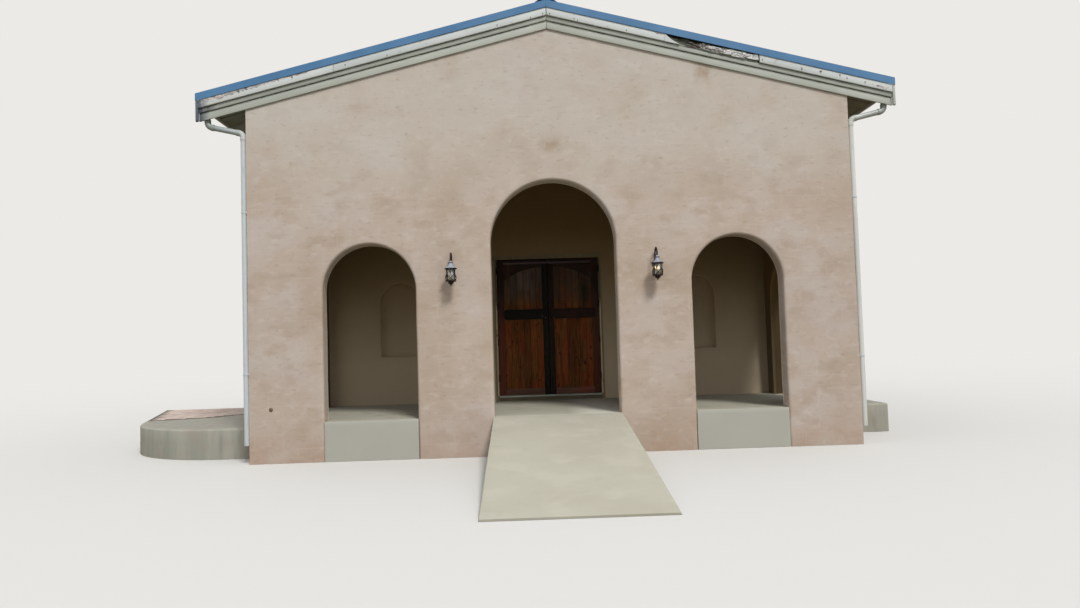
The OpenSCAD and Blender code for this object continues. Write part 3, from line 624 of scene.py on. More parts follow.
# Grime with painted shade in the corners under each board: a soft green-black line with a torn lower edge.
CORNER_GRIME_AND_SHADE = Finish(
    "corner_grime_and_painted_shade", "#6d7266", roughness=0.95, ior=1.3,
    coats=(Coat("#474a40", 160, 0.42, 0.6, 0.7, (3, 1, 1)), Coat("#8f9488", 70, 0.56, 0.68, 0.6, (3, 1, 1))),
)
# Softwood that rain has rotted under the paint: purple-brown fibres with grey crumbs.
ROTTEN_WOOD = Finish(
    "rotten_softwood", "#83746f", roughness=0.95, ior=1.3, board_tone=0.35,
    coats=(
        Coat("#4b3f40", 34, 0.46, 0.6, 0.75, (4, 1, 1), detail=5),
        Coat("#c0b8b2", 16, 0.56, 0.66, 0.7, (6, 1, 1), detail=5),
    ),
    reliefs=(Relief(7, 1.2, (8, 1, 1)),),
)
# Curled flakes of old white paint on wood that has turned grey, with black specks between them.
FLAKING_PAINT = Finish(
    "curled_paint_flakes", "#d3d2ce", roughness=0.9, ior=1.3, board_tone=0.2,
    coats=(
        Coat("#f0f0ea", 40, 0.46, 0.58, 0.85, (3, 1, 1), detail=5),
        Coat("#3c3839", 17, 0.58, 0.62, 0.9, (2.5, 1, 1), detail=5),
    ),
    reliefs=(Relief(9, 1.0, (6, 1, 1)),),
)
# The hollow behind the rot: damp wood greened by algae.
ROT_HOLLOW = Finish(
    "damp_rot_hollow", "#646759", roughness=0.9, ior=1.35,
    coats=(Coat("#33322c", 60, 0.48, 0.6, 0.7, (4, 1, 1)), Coat("#8d9082", 40, 0.54, 0.66, 0.6, (4, 1, 1))),
    reliefs=(Relief(10, 1.0, (5, 1, 1)),),
)
# Gaps between boards or where the wood is gone: a soot-black that is painted shade.
GAP_SHADE = Finish(
    "painted_gap_shade", "#1d1b19", roughness=0.95, ior=1.3,
    coats=(Coat("#383530", 30, 0.55, 0.68, 0.6, (3, 1, 1)),),
)
# Boards where paint has flaked off: silvered wood with a pink cast, specks and crumbs of old paint.
BARE_WOOD = Finish(
    "silvered_bare_wood", "#b0a6a2", roughness=0.9, ior=1.3, board_tone=0.15,
    coats=(
        Coat("#dcd7d0", 42, 0.46, 0.58, 0.8, (2, 1, 1), detail=5),
        Coat("#5b575c", 24, 0.56, 0.62, 0.85, (2.2, 1, 1), detail=5),
    ),
    reliefs=(Relief(9, 0.8, (6, 1, 1)),),
)
# The boards' left end, where water has soaked in from the gutter: slate blue-grey, nearly bare.
STAINED_WOOD = Finish(
    "soaked_board_end", "#626b75", roughness=0.9, ior=1.3, board_tone=0.15,
    coats=(
        Coat("#3a424c", 50, 0.45, 0.6, 0.7, (1, 1, 2), detail=5),
        Coat("#9aa0a0", 30, 0.58, 0.68, 0.6, (2, 1, 1), detail=5),
    ),
    reliefs=(Relief(10, 0.8, (5, 1, 1)),),
)
# The same paint on the underside, made olive-grey and darker: painted shade.
SHADED_SOFFIT_PAINT = Finish(
    "soffit_board_painted_shade", "#8f8a74", roughness=0.85, ior=1.35, board_tone=0.12,
    coats=(
        Coat("#736c57", 300, 0.42, 0.62, 0.6, (3, 1, 1)),
        Coat("#5f5646", 90, 0.56, 0.7, 0.4, (4, 1, 1)),
    ),
    reliefs=(Relief(40, 0.6, (6, 1, 1)),),
)
# The left soffit: the same board, paler and greener, with less painted shade.
LEFT_SHADED_SOFFIT = replace(SHADED_SOFFIT_PAINT, name="left_soffit_painted_shade", colour="#98a394")
# Rolled aluminium with a baked off-white coat: smooth, slightly glossy, streaked by dirt, and greened
# at the height of the gutters.
GUTTER_PAINT = Finish(
    "coated_gutter_metal", "#dadad4", roughness=0.4, ior=1.5,
    coats=(
        Coat("#c6c6bd", 200, 0.46, 0.62, 0.5, (1, 1, 4)),
        Coat("#a29f92", 60, 0.62, 0.72, 0.4, (1, 1, 6)),
        Coat(
            "#7f8982", 100, 0.2, 0.4, 0.95,
            reaches=(Reach(Axis.Z, 4.86, 4.66), Reach(Axis.Z, 5.12, 5.14)),
        ),
    ),
)
# The left downspout, and the straps of both: colder and greyer, which is painted shade.
SHADED_PIPE_PAINT = replace(GUTTER_PAINT, name="pipe_metal_painted_shade", colour="#c9d0d1")
# Softwood frame painted with the wall's own masonry paint.
FRAME_PAINT = Finish(
    "brushed_frame_paint", "#8f8264", roughness=0.8, ior=1.35,
    coats=(
        Coat("#796d51", 160, 0.45, 0.62, 0.5, (1, 1, 4)),
        Coat("#a49a7e", 60, 0.58, 0.68, 0.35, (1, 1, 6)),
    ),
    reliefs=(Relief(12, 0.4, (1, 1, 10)),),
)
# Knotty softwood planks under a red-brown stain: grain runs up the plank, knots show black. Above the
# cross they turn darker and greyer as painted shade, greyer still on the left leaf, with a green-black
# painted shadow on the right one's outer planks.
PLANK_STAIN_AND_SHADE = Finish(
    "knotty_planks_stain_and_painted_shade", "#70471e", roughness=0.75, ior=1.3, board_tone=0.28,
    coats=(
        Coat("#4f2811", 26, 0.44, 0.58, 0.8, (1, 1, 14), detail=5, warp=0.8),
        Coat("#9a5c28", 9, 0.5, 0.62, 0.6, (1, 1, 40), warp=0.5),
        Coat("#8a3a18", 260, 0.5, 0.62, 0.5, (1, 1, 2.5), detail=2),
        Coat("#1f0e07", 52, 0.64, 0.70, 0.9, (1, 1, 1.8), detail=2),
        # Painted shade: darker and greyer above the cross.
        Coat("#4c4136", 300, 0.2, 0.5, 0.8, reaches=(Reach(Axis.Z, 2.5, 2.15),)),
        Coat(
            "#6f6057", 120, 0.3, 0.6, 0.7, (1, 1, 3),
            reaches=(Reach(Axis.Z, 2.55, 2.25), Reach(Axis.X, -0.15, -0.02)),
        ),
        # Painted shadow: green-black over the right leaf's outer planks.
        Coat(
            "#23271c", 300, 0.0, 0.1, 0.7,
            reaches=around(Axis.X, 0.67, 0.12) + around(Axis.Z, 2.44, 0.34),
        ),
    ),
    reliefs=(Relief(5, 0.5, (1, 1, 30)), Relief(60, 0.5, (1, 1, 6))),
)
# The joints between the planks, where the stain has pooled.
JOINT_STAIN = Finish("pooled_joint_stain", "#150b06", roughness=0.8, ior=1.3, coats=(Coat("#2a170c", 40),))
# The framing boards of the leaves: a dark brown stain, darker at the top as painted shade, redder low on the
# left one.
STILE_STAIN_AND_SHADE = Finish(
    "stiles_stain_and_painted_shade", "#54301c", roughness=0.7, ior=1.35, board_tone=0.18,
    coats=(
        Coat("#3a2014", 30, 0.42, 0.6, 0.7, (1, 1, 16), detail=5, warp=0.8),
        Coat("#75452a", 10, 0.54, 0.66, 0.5, (1, 1, 40)),
        Coat(
            "#743722", 200, 0.25, 0.45, 0.5,
            reaches=(Reach(Axis.X, -0.80, -0.78), Reach(Axis.Z, 1.75, 2.1)),
        ),
        # Painted shade: darker towards the top.
        Coat("#241a15", 400, 0.2, 0.5, 0.85, reaches=(Reach(Axis.Z, 2.5, 1.9),)),
    ),
    reliefs=(Relief(5, 0.5, (1, 1, 30)),),
)
# The bottom rails: a paler, pinkish brown, redder on the right leaf.
RAIL_STAIN = Finish(
    "pinkish_bottom_rails", "#745041", roughness=0.75, ior=1.35,
    coats=(
        Coat("#55382d", 30, 0.44, 0.6, 0.7, (16, 1, 1), detail=5, warp=0.8),
        Coat("#8c4239", 160, 0.3, 0.5, 0.5, reaches=around(Axis.X, 0.62, 0.24)),
    ),
    reliefs=(Relief(5, 0.5, (30, 1, 1)),),
)
# The raised bars under the leaves' tops: purplish brown with paler streaks as painted highlight, and a low
# sheen.
BAR_STAIN_AND_HIGHLIGHT = Finish(
    "bar_stain_and_painted_highlight", "#4b3a40", roughness=0.42, ior=1.45,
    coats=(
        Coat("#2c2226", 40, 0.45, 0.6, 0.7, (14, 1, 1), detail=5),
        Coat("#75626b", 20, 0.6, 0.7, 0.5, (20, 1, 1)),
    ),
    reliefs=(Relief(5, 0.3, (24, 1, 1)),),
)
# The beads along the jambs: a mottled cream that is painted highlight on the jamb's edge, and almost black
# in their upper part as painted shade.
BEAD_HIGHLIGHT_AND_SHADE = Finish(
    "bead_painted_highlight_and_shade", "#e2d8bd", roughness=0.7, ior=1.4,
    coats=(
        Coat("#6b5f48", 60, 0.56, 0.64, 0.8, (1, 1, 3)),
        # Painted shade: almost black above mid-height.
        Coat("#2f2820", 100, 0.0, 0.1, 0.9, reaches=(Reach(Axis.Z, 2.35, 2.2),)),
    ),
)
# Screw heads of zinc-plated steel, dulled.
ZINC = Finish(
    "dulled_zinc_screws", "#9a9c9c", roughness=0.45, metallic=0.8,
    coats=(Coat("#63625e", 5, 0.5, 0.65, 0.6),),
)
# The cross of boards over both leaves, stained almost black: greener on the left leaf, and redder on
# the right one from the arm up.
CROSS_STAIN = Finish(
    "blackened_cross_boards", "#251c17", roughness=0.7, ior=1.3, board_tone=0.25,
    coats=(
        Coat("#15100d", 40, 0.42, 0.6, 0.7, (1, 1, 12), detail=5),
        Coat("#3f2a20", 14, 0.58, 0.7, 0.4, (1, 1, 30)),
        Coat("#4a2a22", 200, 0.3, 0.55, 0.6, reaches=(Reach(Axis.X, 0.12, 0.02), Reach(Axis.Z, 1.98, 1.8))),
        Coat("#131610", 90, 0.2, 0.4, 0.7, reaches=(Reach(Axis.X, -0.1, 0.05),)),
    ),
    reliefs=(Relief(6, 0.5, (1, 1, 24)),),
)
# Black oxide over forged iron, rubbed to bare metal on the edges.
IRON = Finish(
    "forged_black_iron", "#2a2724", roughness=0.5, metallic=0.8,
    coats=(Coat("#5b4a3c", 20, 0.6, 0.7, 0.5), Coat("#17130f", 60, 0.45, 0.6, 0.5)),
    reliefs=(Relief(8, 0.4),),
)
# Nail heads that have rusted through the paint.
RUST = Finish(
    "rusted_nail_heads", "#5a4234", roughness=0.9, metallic=0.2,
    coats=(Coat("#2f2622", 9, 0.45, 0.6, 0.7),),
)
# Cast lantern metal under a brown-black bronze paint, gone matt.
BRONZE = Finish(
    "painted_lantern_bronze", "#2a1b12", roughness=0.6, ior=1.4,
    coats=(Coat("#46301f", 18, 0.56, 0.68, 0.6), Coat("#0f0a07", 40, 0.5, 0.62, 0.5)),
    reliefs=(Relief(6, 0.3),),
)
# The lanterns' roofs have weathered to a pale blue-grey bloom.
BLOOM = Finish(
    "weathered_lantern_roof", "#8f939c", roughness=0.55, metallic=0.2,
    coats=(Coat("#b9bdc6", 24, 0.5, 0.64, 0.6), Coat("#5c5d60", 12, 0.6, 0.7, 0.5)),
    reliefs=(Relief(8, 0.4),),
)
# Thin clear glass with the ripple of a blown cylinder.
LANTERN_GLASS = Finish(
    "blown_lantern_glass", "#c9ced2", roughness=0.05, clear=0.9, reliefs=(Relief(20, 0.3),)
)
# Candle tube of cream plastic, a little yellowed.
CANDLE = Finish(
    "moulded_candle_tube", "#d9cba8", roughness=0.5, coats=(Coat("#b8a67c", 15, 0.5, 0.65, 0.5),)
)
# Frosted flame bulb whose warm glow is a painted highlight.
HIGHLIGHT_BULB = Finish("flame_bulb_painted_highlight", "#ffdcae", roughness=0.5, glow=1.25)
# The left lantern's bulbs, with a fainter, paler glow as painted highlight.
DIM_HIGHLIGHT_BULB = Finish("dim_bulb_painted_highlight", "#cfc8b8", roughness=0.5, glow=0.3)
# Painted timber window frames, as the gutters' white.
WINDOW_PAINT = Finish(
    "painted_window_frame", "#cfcabb", roughness=0.6, ior=1.5,
    coats=(Coat("#b3ad9d", 90, 0.5, 0.64, 0.5, (1, 1, 3)), Coat("#e0dccf", 40, 0.58, 0.68, 0.4)),
    reliefs=(Relief(10, 0.3, (1, 1, 8)),),
)
# Drawn sheet glass over an unlit room: dark, with a slight wave in what it reflects.
WINDOW_GLASS = Finish(
    "drawn_window_glass", "#20282a", roughness=0.04, clear=0.45, reliefs=(Relief(300, 0.8),)
)
# Boards over the porch and the nave, dark brown as painted shade, so that little light bounces about the
# porch.
CEILING_BOARD = Finish(
    "ceiling_board_painted_shade", "#5a4632", roughness=0.85, ior=1.35,
    coats=(Coat("#453423", 400, 0.42, 0.62, 0.6), Coat("#6b563f", 90, 0.55, 0.68, 0.4, (1, 8, 1))),
    reliefs=(Relief(25, 0.5),),
)
# Sawn roof boards, never painted: straw brown with dark grain.
SAWN_DECK = Finish(
    "sawn_roof_deck", "#8a7a60", roughness=0.85, ior=1.45,
    coats=(Coat("#6b5b45", 40, 0.45, 0.6, 0.6, (1, 8, 1)), Coat("#a39377", 15, 0.55, 0.68, 0.5, (1, 12, 1))),
    reliefs=(Relief(8, 0.5, (1, 10, 1)),),
)


# Shaping tools


class Piece:
    """A named mesh of the scene while it is being shaped, in the frame's axes."""

    def __init__(self, name: str) -> None:
        """Starts an empty mesh.

        Args:
            name: The piece's name.
        """
        self.name = name
        self.bm = bmesh.new()
        self.board = self.bm.faces.layers.float.new("board")
        self.boards = 0

    def next_board(self, before: set[bmesh.types.BMFace]) -> None:
        """Numbers the faces made since `before` as one board.

        Args:
            before: The faces that were there already.
        """
        self.boards += 1
        number = (self.boards * GOLDEN) % 1
        for face in self.bm.faces:
            if face not in before:
                face[self.board] = number

    def soften(self, edges: Iterable[bmesh.types.BMEdge], width: float, segments: int = 2) -> None:
        """Rounds edges.

        Args:
            edges: The edges.
            width: The rounding's width.
            segments: The steps in the rounding.
        """
        bmesh.ops.bevel(
            self.bm, geom=list(edges), offset=width, offset_type="OFFSET", segments=segments,
            profile=0.5, affect="EDGES", material=-1, clamp_overlap=True,
        )

    def block(
        self, low: Sequence[float], high: Sequence[float], round_to: float = 0.0,
        turn: Matrix = Matrix.Identity(4), segments: int = 2,
    ) -> None:
        """Adds a box between two corners, with rounded edges.

        Args:
            low: Lowest corner.
            high: Highest corner.
            round_to: Width of the rounding.
            turn: Where the box's own axes lie.
            segments: The steps in the rounding.
        """
        before = set(self.bm.faces)
        low, high = Vector(low), Vector(high)
        size = high - low
        stretch = Matrix.Diagonal((size.x, size.y, size.z, 1))
        place = turn @ Matrix.Translation((low + high) / 2) @ stretch
        verts = bmesh.ops.create_cube(self.bm, size=1, matrix=place)["verts"]
        if round_to:
            self.soften({e for v in verts for e in v.link_edges}, round_to, segments)
        self.next_board(before)

    def prism(self, outline: Sequence[Sequence[float]], push: Vector, round_to: float = 0.0) -> None:
        """Adds a flat outline pushed out into a solid.

        Args:
            outline: The outline's corners.
            push: The way from the first face to the last.
            round_to: Width of the rounding along all its sharp edges.
        """
        before = set(self.bm.faces)
        face = self.bm.faces.new([self.bm.verts.new(p) for p in outline])
        grown = bmesh.ops.extrude_face_region(self.bm, geom=[face])["geom"]
        verts = [g for g in grown if isinstance(g, bmesh.types.BMVert)]
        bmesh.ops.translate(self.bm, verts=verts, vec=push)
        if round_to:
            fresh = [f for f in self.bm.faces if f not in before]
            edges = {e for f in fresh for e in f.edges}
            bmesh.ops.recalc_face_normals(self.bm, faces=fresh)
            self.soften([e for e in edges if e.calc_face_angle(0) > SHARP_BUILT], round_to)
        self.next_board(before)

    def turned(
        self, profile: Sequence[Span], centre: Vector, steps: int = 24, turn: Matrix = Matrix.Identity(4)
    ) -> None:
        """Adds a profile spun about an upright axis.

        Args:
            profile: Radius and height of each point, from foot to top.
            centre: The point on the axis at height 0.
            steps: Faces round the axis.
            turn: A turn about the centre, for a leaning axis.
        """
        before = set(self.bm.faces)
        verts = [self.bm.verts.new((r, 0, z)) for r, z in profile]
        edges = [self.bm.edges.new(pair) for pair in zip(verts, verts[1:])]
        bmesh.ops.spin(
            self.bm, geom=verts + edges, cent=(0, 0, 0), axis=Z, angle=math.tau, steps=steps,
            use_merge=True,
        )
        fresh = {v for f in self.bm.faces if f not in before for v in f.verts}
        bmesh.ops.remove_doubles(self.bm, verts=list(fresh), dist=1e-6)
        fresh = {v for f in self.bm.faces if f not in before for v in f.verts}
        place = Matrix.Translation(centre) @ turn
        bmesh.ops.transform(self.bm, matrix=place, verts=list(fresh))
        self.next_board(before)

    def rod(self, path: Sequence[Vector], radius: float, sides: int = 8) -> None:
        """Adds a round bar bent along a path.

        Args:
            path: The points of its middle line.
            radius: The bar's radius.
            sides: Faces round the bar.
        """
        before = set(self.bm.faces)
        heading = (path[1] - path[0]).normalized()
        turn = Z.rotation_difference(heading)
        here = Matrix.Translation(path[0]) @ turn.to_matrix().to_4x4()
        ring = bmesh.ops.create_circle(self.bm, segments=sides, radius=radius, matrix=here)["verts"]
        edges = list({e for v in ring for e in v.link_edges})
        bmesh.ops.edgeloop_fill(self.bm, edges=edges)
        for number, point in enumerate(path[1:], 1):
            onward = path[min(number + 1, len(path) - 1)] - path[number - 1]
            onward.normalize()
            turn = heading.rotation_difference(onward) @ turn
            heading = onward
            there = Matrix.Translation(point) @ turn.to_matrix().to_4x4()
            grown = bmesh.ops.extrude_edge_only(self.bm, edges=edges)["geom"]
            verts = [g for g in grown if isinstance(g, bmesh.types.BMVert)]
            edges = [g for g in grown if isinstance(g, bmesh.types.BMEdge)]
            edges = [e for e in edges if all(v in verts for v in e.verts)]
            bmesh.ops.transform(self.bm, matrix=there @ here.inverted(), verts=verts)
            here = there
        bmesh.ops.edgeloop_fill(self.bm, edges=edges)
        self.next_board(before)

    def repeat(self, places: Iterable[Matrix]) -> None:
        """Sets a copy of the mesh made so far at each place, instead of the mesh itself.

        Args:
            places: Where each copy lies.
        """
        one = bpy.data.meshes.new(self.name + "_one")
        self.bm.to_mesh(one)
        self.bm.free()
        self.bm = bmesh.new()
        for place in places:
            copy = one.copy()
            copy.transform(place)
            self.bm.from_mesh(copy)
            bpy.data.meshes.remove(copy)
        bpy.data.meshes.remove(one)

    def place(
        self, finish: Finish, slot: str, *replaced: str, body: Body = Body.BUILDING,
        smooth_to: float = 38, outward: bool = True,
    ) -> bpy.types.Object:
        """Turns the mesh into an object of the scene.

        Args:
            finish: The finish.
            slot: The material slot's name; not used.
            *replaced: The nodes it stands for.
            body: The body it rides on.
            smooth_to: Edges blunter than this, in degrees, are shaded smooth.
            outward: Whether to turn the faces outwards, which a copied node doesn't need.

        Returns:
            The object.
        """
        if outward:
            bmesh.ops.recalc_face_normals(self.bm, faces=self.bm.faces)
        mesh = bpy.data.meshes.new(self.name)
        self.bm.to_mesh(mesh)
        self.bm.free()
        if mesh.has_custom_normals:
            mesh.attributes.remove(mesh.attributes["custom_normal"])
        mesh.shade_smooth()
        mesh.set_sharp_from_angle(angle=math.radians(smooth_to))
        mesh.materials.append(finish.material())
        obj = add_object(self.name, mesh)
        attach(obj, body.value)
        if replaced:
            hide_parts(*replaced)
        LOG.info("%s: %d faces", self.name, len(mesh.polygons))
        return obj


def top_at(node: str) -> Callable[[float, float], float]:
    """Finds heights on a node's upper side.

    Args:
        node: The node's name.

    Returns:
        A function from X and Y to the height of the node's top there.
    """
    bm = bmesh.new()
    bm.from_mesh(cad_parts[node].data)
    tree = BVHTree.FromBMesh(bm)
    bm.free()
    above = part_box(node)[1].z + 1
    return lambda x, y: tree.ray_cast(Vector((x, y, above)), -Z)[0].z


def dress(node: str, finish: Finish) -> None:
    """Gives a node of the frame its finish and leaves its mesh as it is.

    Args:
        node: The node's name.
        finish: The finish.
    """
    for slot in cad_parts[node].material_slots:
        slot.material = finish.material()
    LOG.info("%s: %s", node, finish.name)


class CopiedPiece(Piece):
    """A copy of a node's mesh, merged, to be softened and waved like hand-made work."""

    def __init__(self, node: str, name: str) -> None:
        """Copies the node.

        Args:
            node: The node to copy.
            name: The piece's name.
        """
        super().__init__(name)
        self.node = node
        self.bm.from_mesh(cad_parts[node].data)
        bmesh.ops.remove_doubles(self.bm, verts=self.bm.verts, dist=1e-5)
        bmesh.ops.dissolve_limit(
            self.bm, angle_limit=math.radians(0.4), verts=self.bm.verts, edges=self.bm.edges
        )

    def soften_where(self, width: float, choose: Callable[[Vector, Vector], bool]) -> None:
        """Rounds the sharp outer edges that are chosen.

        Args:
            width: The rounding's width.
            choose: Says of an edge's two ends whether to round it.
        """
        edges = [
            e for e in self.bm.edges
            if e.is_convex and e.calc_face_angle(0) > SHARP_COPIED and choose(e.verts[0].co, e.verts[1].co)
        ]
        if edges:
            self.soften(edges, width, 3)

    def cut_grid(self, step: float, rim: float = 0.02) -> None:
        """Cuts the mesh by evenly spaced planes, so that its flat faces can wave.

        Args:
            step: Distance from cut to cut.
            rim: How near the node's ends no cut is made.
        """
        low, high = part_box(self.node)
        for number, normal in enumerate((X, Y, Z)):
            first, last = math.ceil((low[number] + rim) / step), math.floor((high[number] - rim) / step)
            for cut in range(first, last + 1):
                geom = self.bm.verts[:] + self.bm.edges[:] + self.bm.faces[:]
                bmesh.ops.bisect_plane(
                    self.bm, geom=geom, dist=1e-5, plane_co=normal * cut * step, plane_no=normal
                )

    def wave(self, length: float, height: float) -> None:
        """Moves every point a little sideways by a slow field that all pieces share.

        Args:
            length: Distance from wave to wave.
            height: How far a point may move.
        """
        for vert in self.bm.verts:
            push = noise.noise_vector(vert.co / length) * height
            vert.co += Vector((push.x, push.y, 0))


# The building


@dataclass
class Walls:
    """The stuccoed walls, and the plug in the front one."""

    arris: float = 0.014
    ends: float = 0.01
    wave_length: float = 0.55
    wave_height: float = 0.0035
    grid: float = 0.2
    nodes: tuple[str, ...] = (
        "front_wall", "porch_end_wall_left", "porch_end_wall_right", "back_wall_left",
        "back_wall_right", "back_wall_over_door", "side_wall_left", "side_wall_right", "rear_wall",
    )
    plug_place: Span = (-4.045, 0.758)
    plug_r: float = 0.028
    plug_dome: tuple[Span, ...] = (
        (0, -0.01), (1, -0.01), (1, 0.005), (0.8, 0.010), (0.4, 0.013), (0, 0.014),
    )

    def build(self) -> None:
        """Builds and dresses the walls and the plug."""
        for node in self.nodes:
            self.wall(node)
        self.plug()

    def wall(self, node: str) -> None:
        """Copies a wall, rounds its openings' arrises and waves it as a float leaves it.

        Args:
            node: The wall's node.
        """
        low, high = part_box(node)
        along = 1 if high.y - low.y > high.x - low.x else 0
        wall = CopiedPiece(node, "stucco_" + node)

        def away(point: Vector) -> bool:
            """Whether a point lies away from the wall's ends, foot and top."""
            return all(low[n] + self.ends < point[n] < high[n] - self.ends for n in (along, 2))

        wall.soften_where(self.arris, lambda a, b: away(a) and away(b))
        wall.cut_grid(self.grid)
        wall.wave(self.wave_length, self.wave_height)
        # The porch's back and end walls take finishes with painted shade.
        finish = {"back": SHADED_PORCH_STUCCO, "porch": SHADED_END_STUCCO}.get(node.split("_")[0], STUCCO)
        wall.place(finish, "stucco", node, outward=False)

    def plug(self) -> None:
        """Builds the small domed plug near the foot of the front's left corner."""
        low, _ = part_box("front_wall")
        x, z = self.plug_place
        plug = Piece("wall_plug")
        profile = [(share * self.plug_r, out) for share, out in self.plug_dome]
        plug.turned(profile, Vector((x, low.y, z)), 20, LYING)
        plug.place(PLUG_CLAY, "stucco")


@dataclass
class Masonry:
    """The floor, ramp, threshold and landings, cast in concrete."""

    arris: float = 0.012
    step_arris: float = 0.006
    rim: float = 0.03
    foot_share: float = 0.1
    wave_length: float = 0.6
    wave_height: float = 0.002
    grid: float = 0.25
    bar_h: float = 0.028
    bar_out: float = 0.006
    bar_in: float = 0.020
    bar_up: float = 0.001
    bar_gap: float = 0.002
    brick_l: float = 0.200
    brick_w: float = 0.100
    brick_gap: float = 0.008
    brick_lift: Span = (0.003, 0.007)
    brick_sunk: float = 0.01
    brick_round: float = 0.002
    brick_turn: float = 1.2
    brick_back: Span = (0.01, 0.06)
    torn_line: tuple[Span, ...] = (
        (-6.88, 2.24), (-6.60, 2.30), (-6.25, 2.44), (-5.87, 2.59), (-5.55, 3.04), (-4.36, 3.40),
    )
    torn_by: float = 0.035
    torn_steps: int = 34
    bed_up: float = 0.0012
    bed_sunk: float = 0.004
    bed_gap: float = 0.012
    splay: float = 0.31
    seed: int = 7

    def build(self) -> None:
        """Builds and dresses the castings, the sill bar and the pavers on their bed."""
        castings = (
            ("floor_slab", FLOOR_CONCRETE, self.arris),
            ("ramp", CONCRETE, self.arris),
            ("door_threshold", STEP_PAINT, self.step_arris),
            ("stoop_left", STREAKED_CONCRETE, self.rim),
            ("stoop_right", STREAKED_CONCRETE, self.rim),
        )
        for node, finish, width in castings:
            low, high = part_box(node)
            foot = low.z + self.foot_share * (high.z - low.z)
            casting = CopiedPiece(node, "cast_" + node)
            casting.soften_where(width, lambda a, b: max(a.z, b.z) > foot)
            casting.cut_grid(self.grid)
            casting.wave(self.wave_length, self.wave_height)
            casting.place(finish, "concrete", node, outward=False)
        self.sill_bar()
        self.pavers()
        self.paver_bed()

    def torn_y(self, x: float) -> float:
        """Where the landing's whole concrete ends and its pavers start, at an X."""
        for (x0, y0), (x1, y1) in zip(self.torn_line, self.torn_line[1:]):
            if x <= x1:
                return y0 + (y1 - y0) * max(0.0, x - x0) / (x1 - x0)
        return self.torn_line[-1][1]

    def splayed_x(self, y: float) -> float:
        """The landing's outer edge, inside its rim, at a Y."""
        low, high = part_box("stoop_left")
        return low.x + self.rim + (high.y - y) * self.splay

    def sill_bar(self) -> None:
        """Builds the metal bar along the step's upper edge, under the leaves."""
        low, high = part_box("door_threshold")
        bar = Piece("door_sill_bar")
        bar.block(
            (low.x + self.bar_gap, low.y - self.bar_out, high.z - self.bar_h),
            (high.x - self.bar_gap, low.y + self.bar_in, high.z + self.bar_up), self.bar_gap,
        )
        bar.place(SILL_METAL, "concrete")

    def pavers(self) -> None:
        """Lays bricks flat over the left landing's back, in rows that step back from a torn line."""
        low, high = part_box("stoop_left")
        draw = random.Random(self.seed)
        piece = Piece("stoop_pavers")
        pitch_x, pitch_y = self.brick_l + self.brick_gap, self.brick_w + self.brick_gap
        rows = int((high.y - self.torn_line[0][1] - self.rim) / pitch_y)
        for row in range(rows):
            y = high.y - self.rim - (row + 1) * pitch_y
            shift = 0.5 * pitch_x * (row % 2)
            edge = self.splayed_x(y) + self.brick_gap
            for column in range(int((high.x - low.x) / pitch_x) + 1):
                x = high.x - self.rim - shift - (column + 1) * pitch_x
                start = max(self.torn_y(x), self.torn_y(x + self.brick_l)) + draw.uniform(*self.brick_back)
                if x < edge or y < start:
                    continue
                angle = math.radians(draw.uniform(-self.brick_turn, self.brick_turn))
                top = (self.brick_l, self.brick_w, draw.uniform(*self.brick_lift))
                place = Matrix.Translation((x, y, high.z)) @ Matrix.Rotation(angle, 4, "Z")
                piece.block((0, 0, -self.brick_sunk), top, self.brick_round, place, 1)
        piece.place(PAVER_CLAY, "concrete")

    def paver_bed(self) -> None:
        """Lays the mortar bed, whose torn front edge shows as a dark line before the pavers."""
        _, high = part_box("stoop_left")
        draw = random.Random(self.seed)
        bed = Piece("stoop_paver_bed")
        first, last = self.splayed_x(self.torn_line[0][1]), high.x - self.bed_gap
        back = high.y - self.rim
        outline = []
        for step in range(self.torn_steps + 1):
            x = first + (last - first) * step / self.torn_steps
            outline.append((x, self.torn_y(x) + draw.uniform(-self.torn_by, self.torn_by)))
        outline += [(last, back), (self.splayed_x(back), back)]
        foot = high.z - self.bed_sunk
        bed.prism([(x, y, foot) for x, y in outline], Z * (self.bed_sunk + self.bed_up))
        bed.place(MORTAR_BED, "concrete")


@dataclass(frozen=True)
class Debris:
    """Torn bits of one kind that stand in the rot, thicker and higher towards its outer end."""

    name: str
    finish: Finish
    count: int
    span: Span
    room: Span
    low: float = 0.004
    low_share: float = 0.82
    height: Span = (0.012, 0.036)
    length: Span = (0.06, 0.18)
    thick: float = 0.012
    tooth: float = 0.014
    bite_share: float = 0.7
    level_share: float = 0.8
    clear: float = 0.002


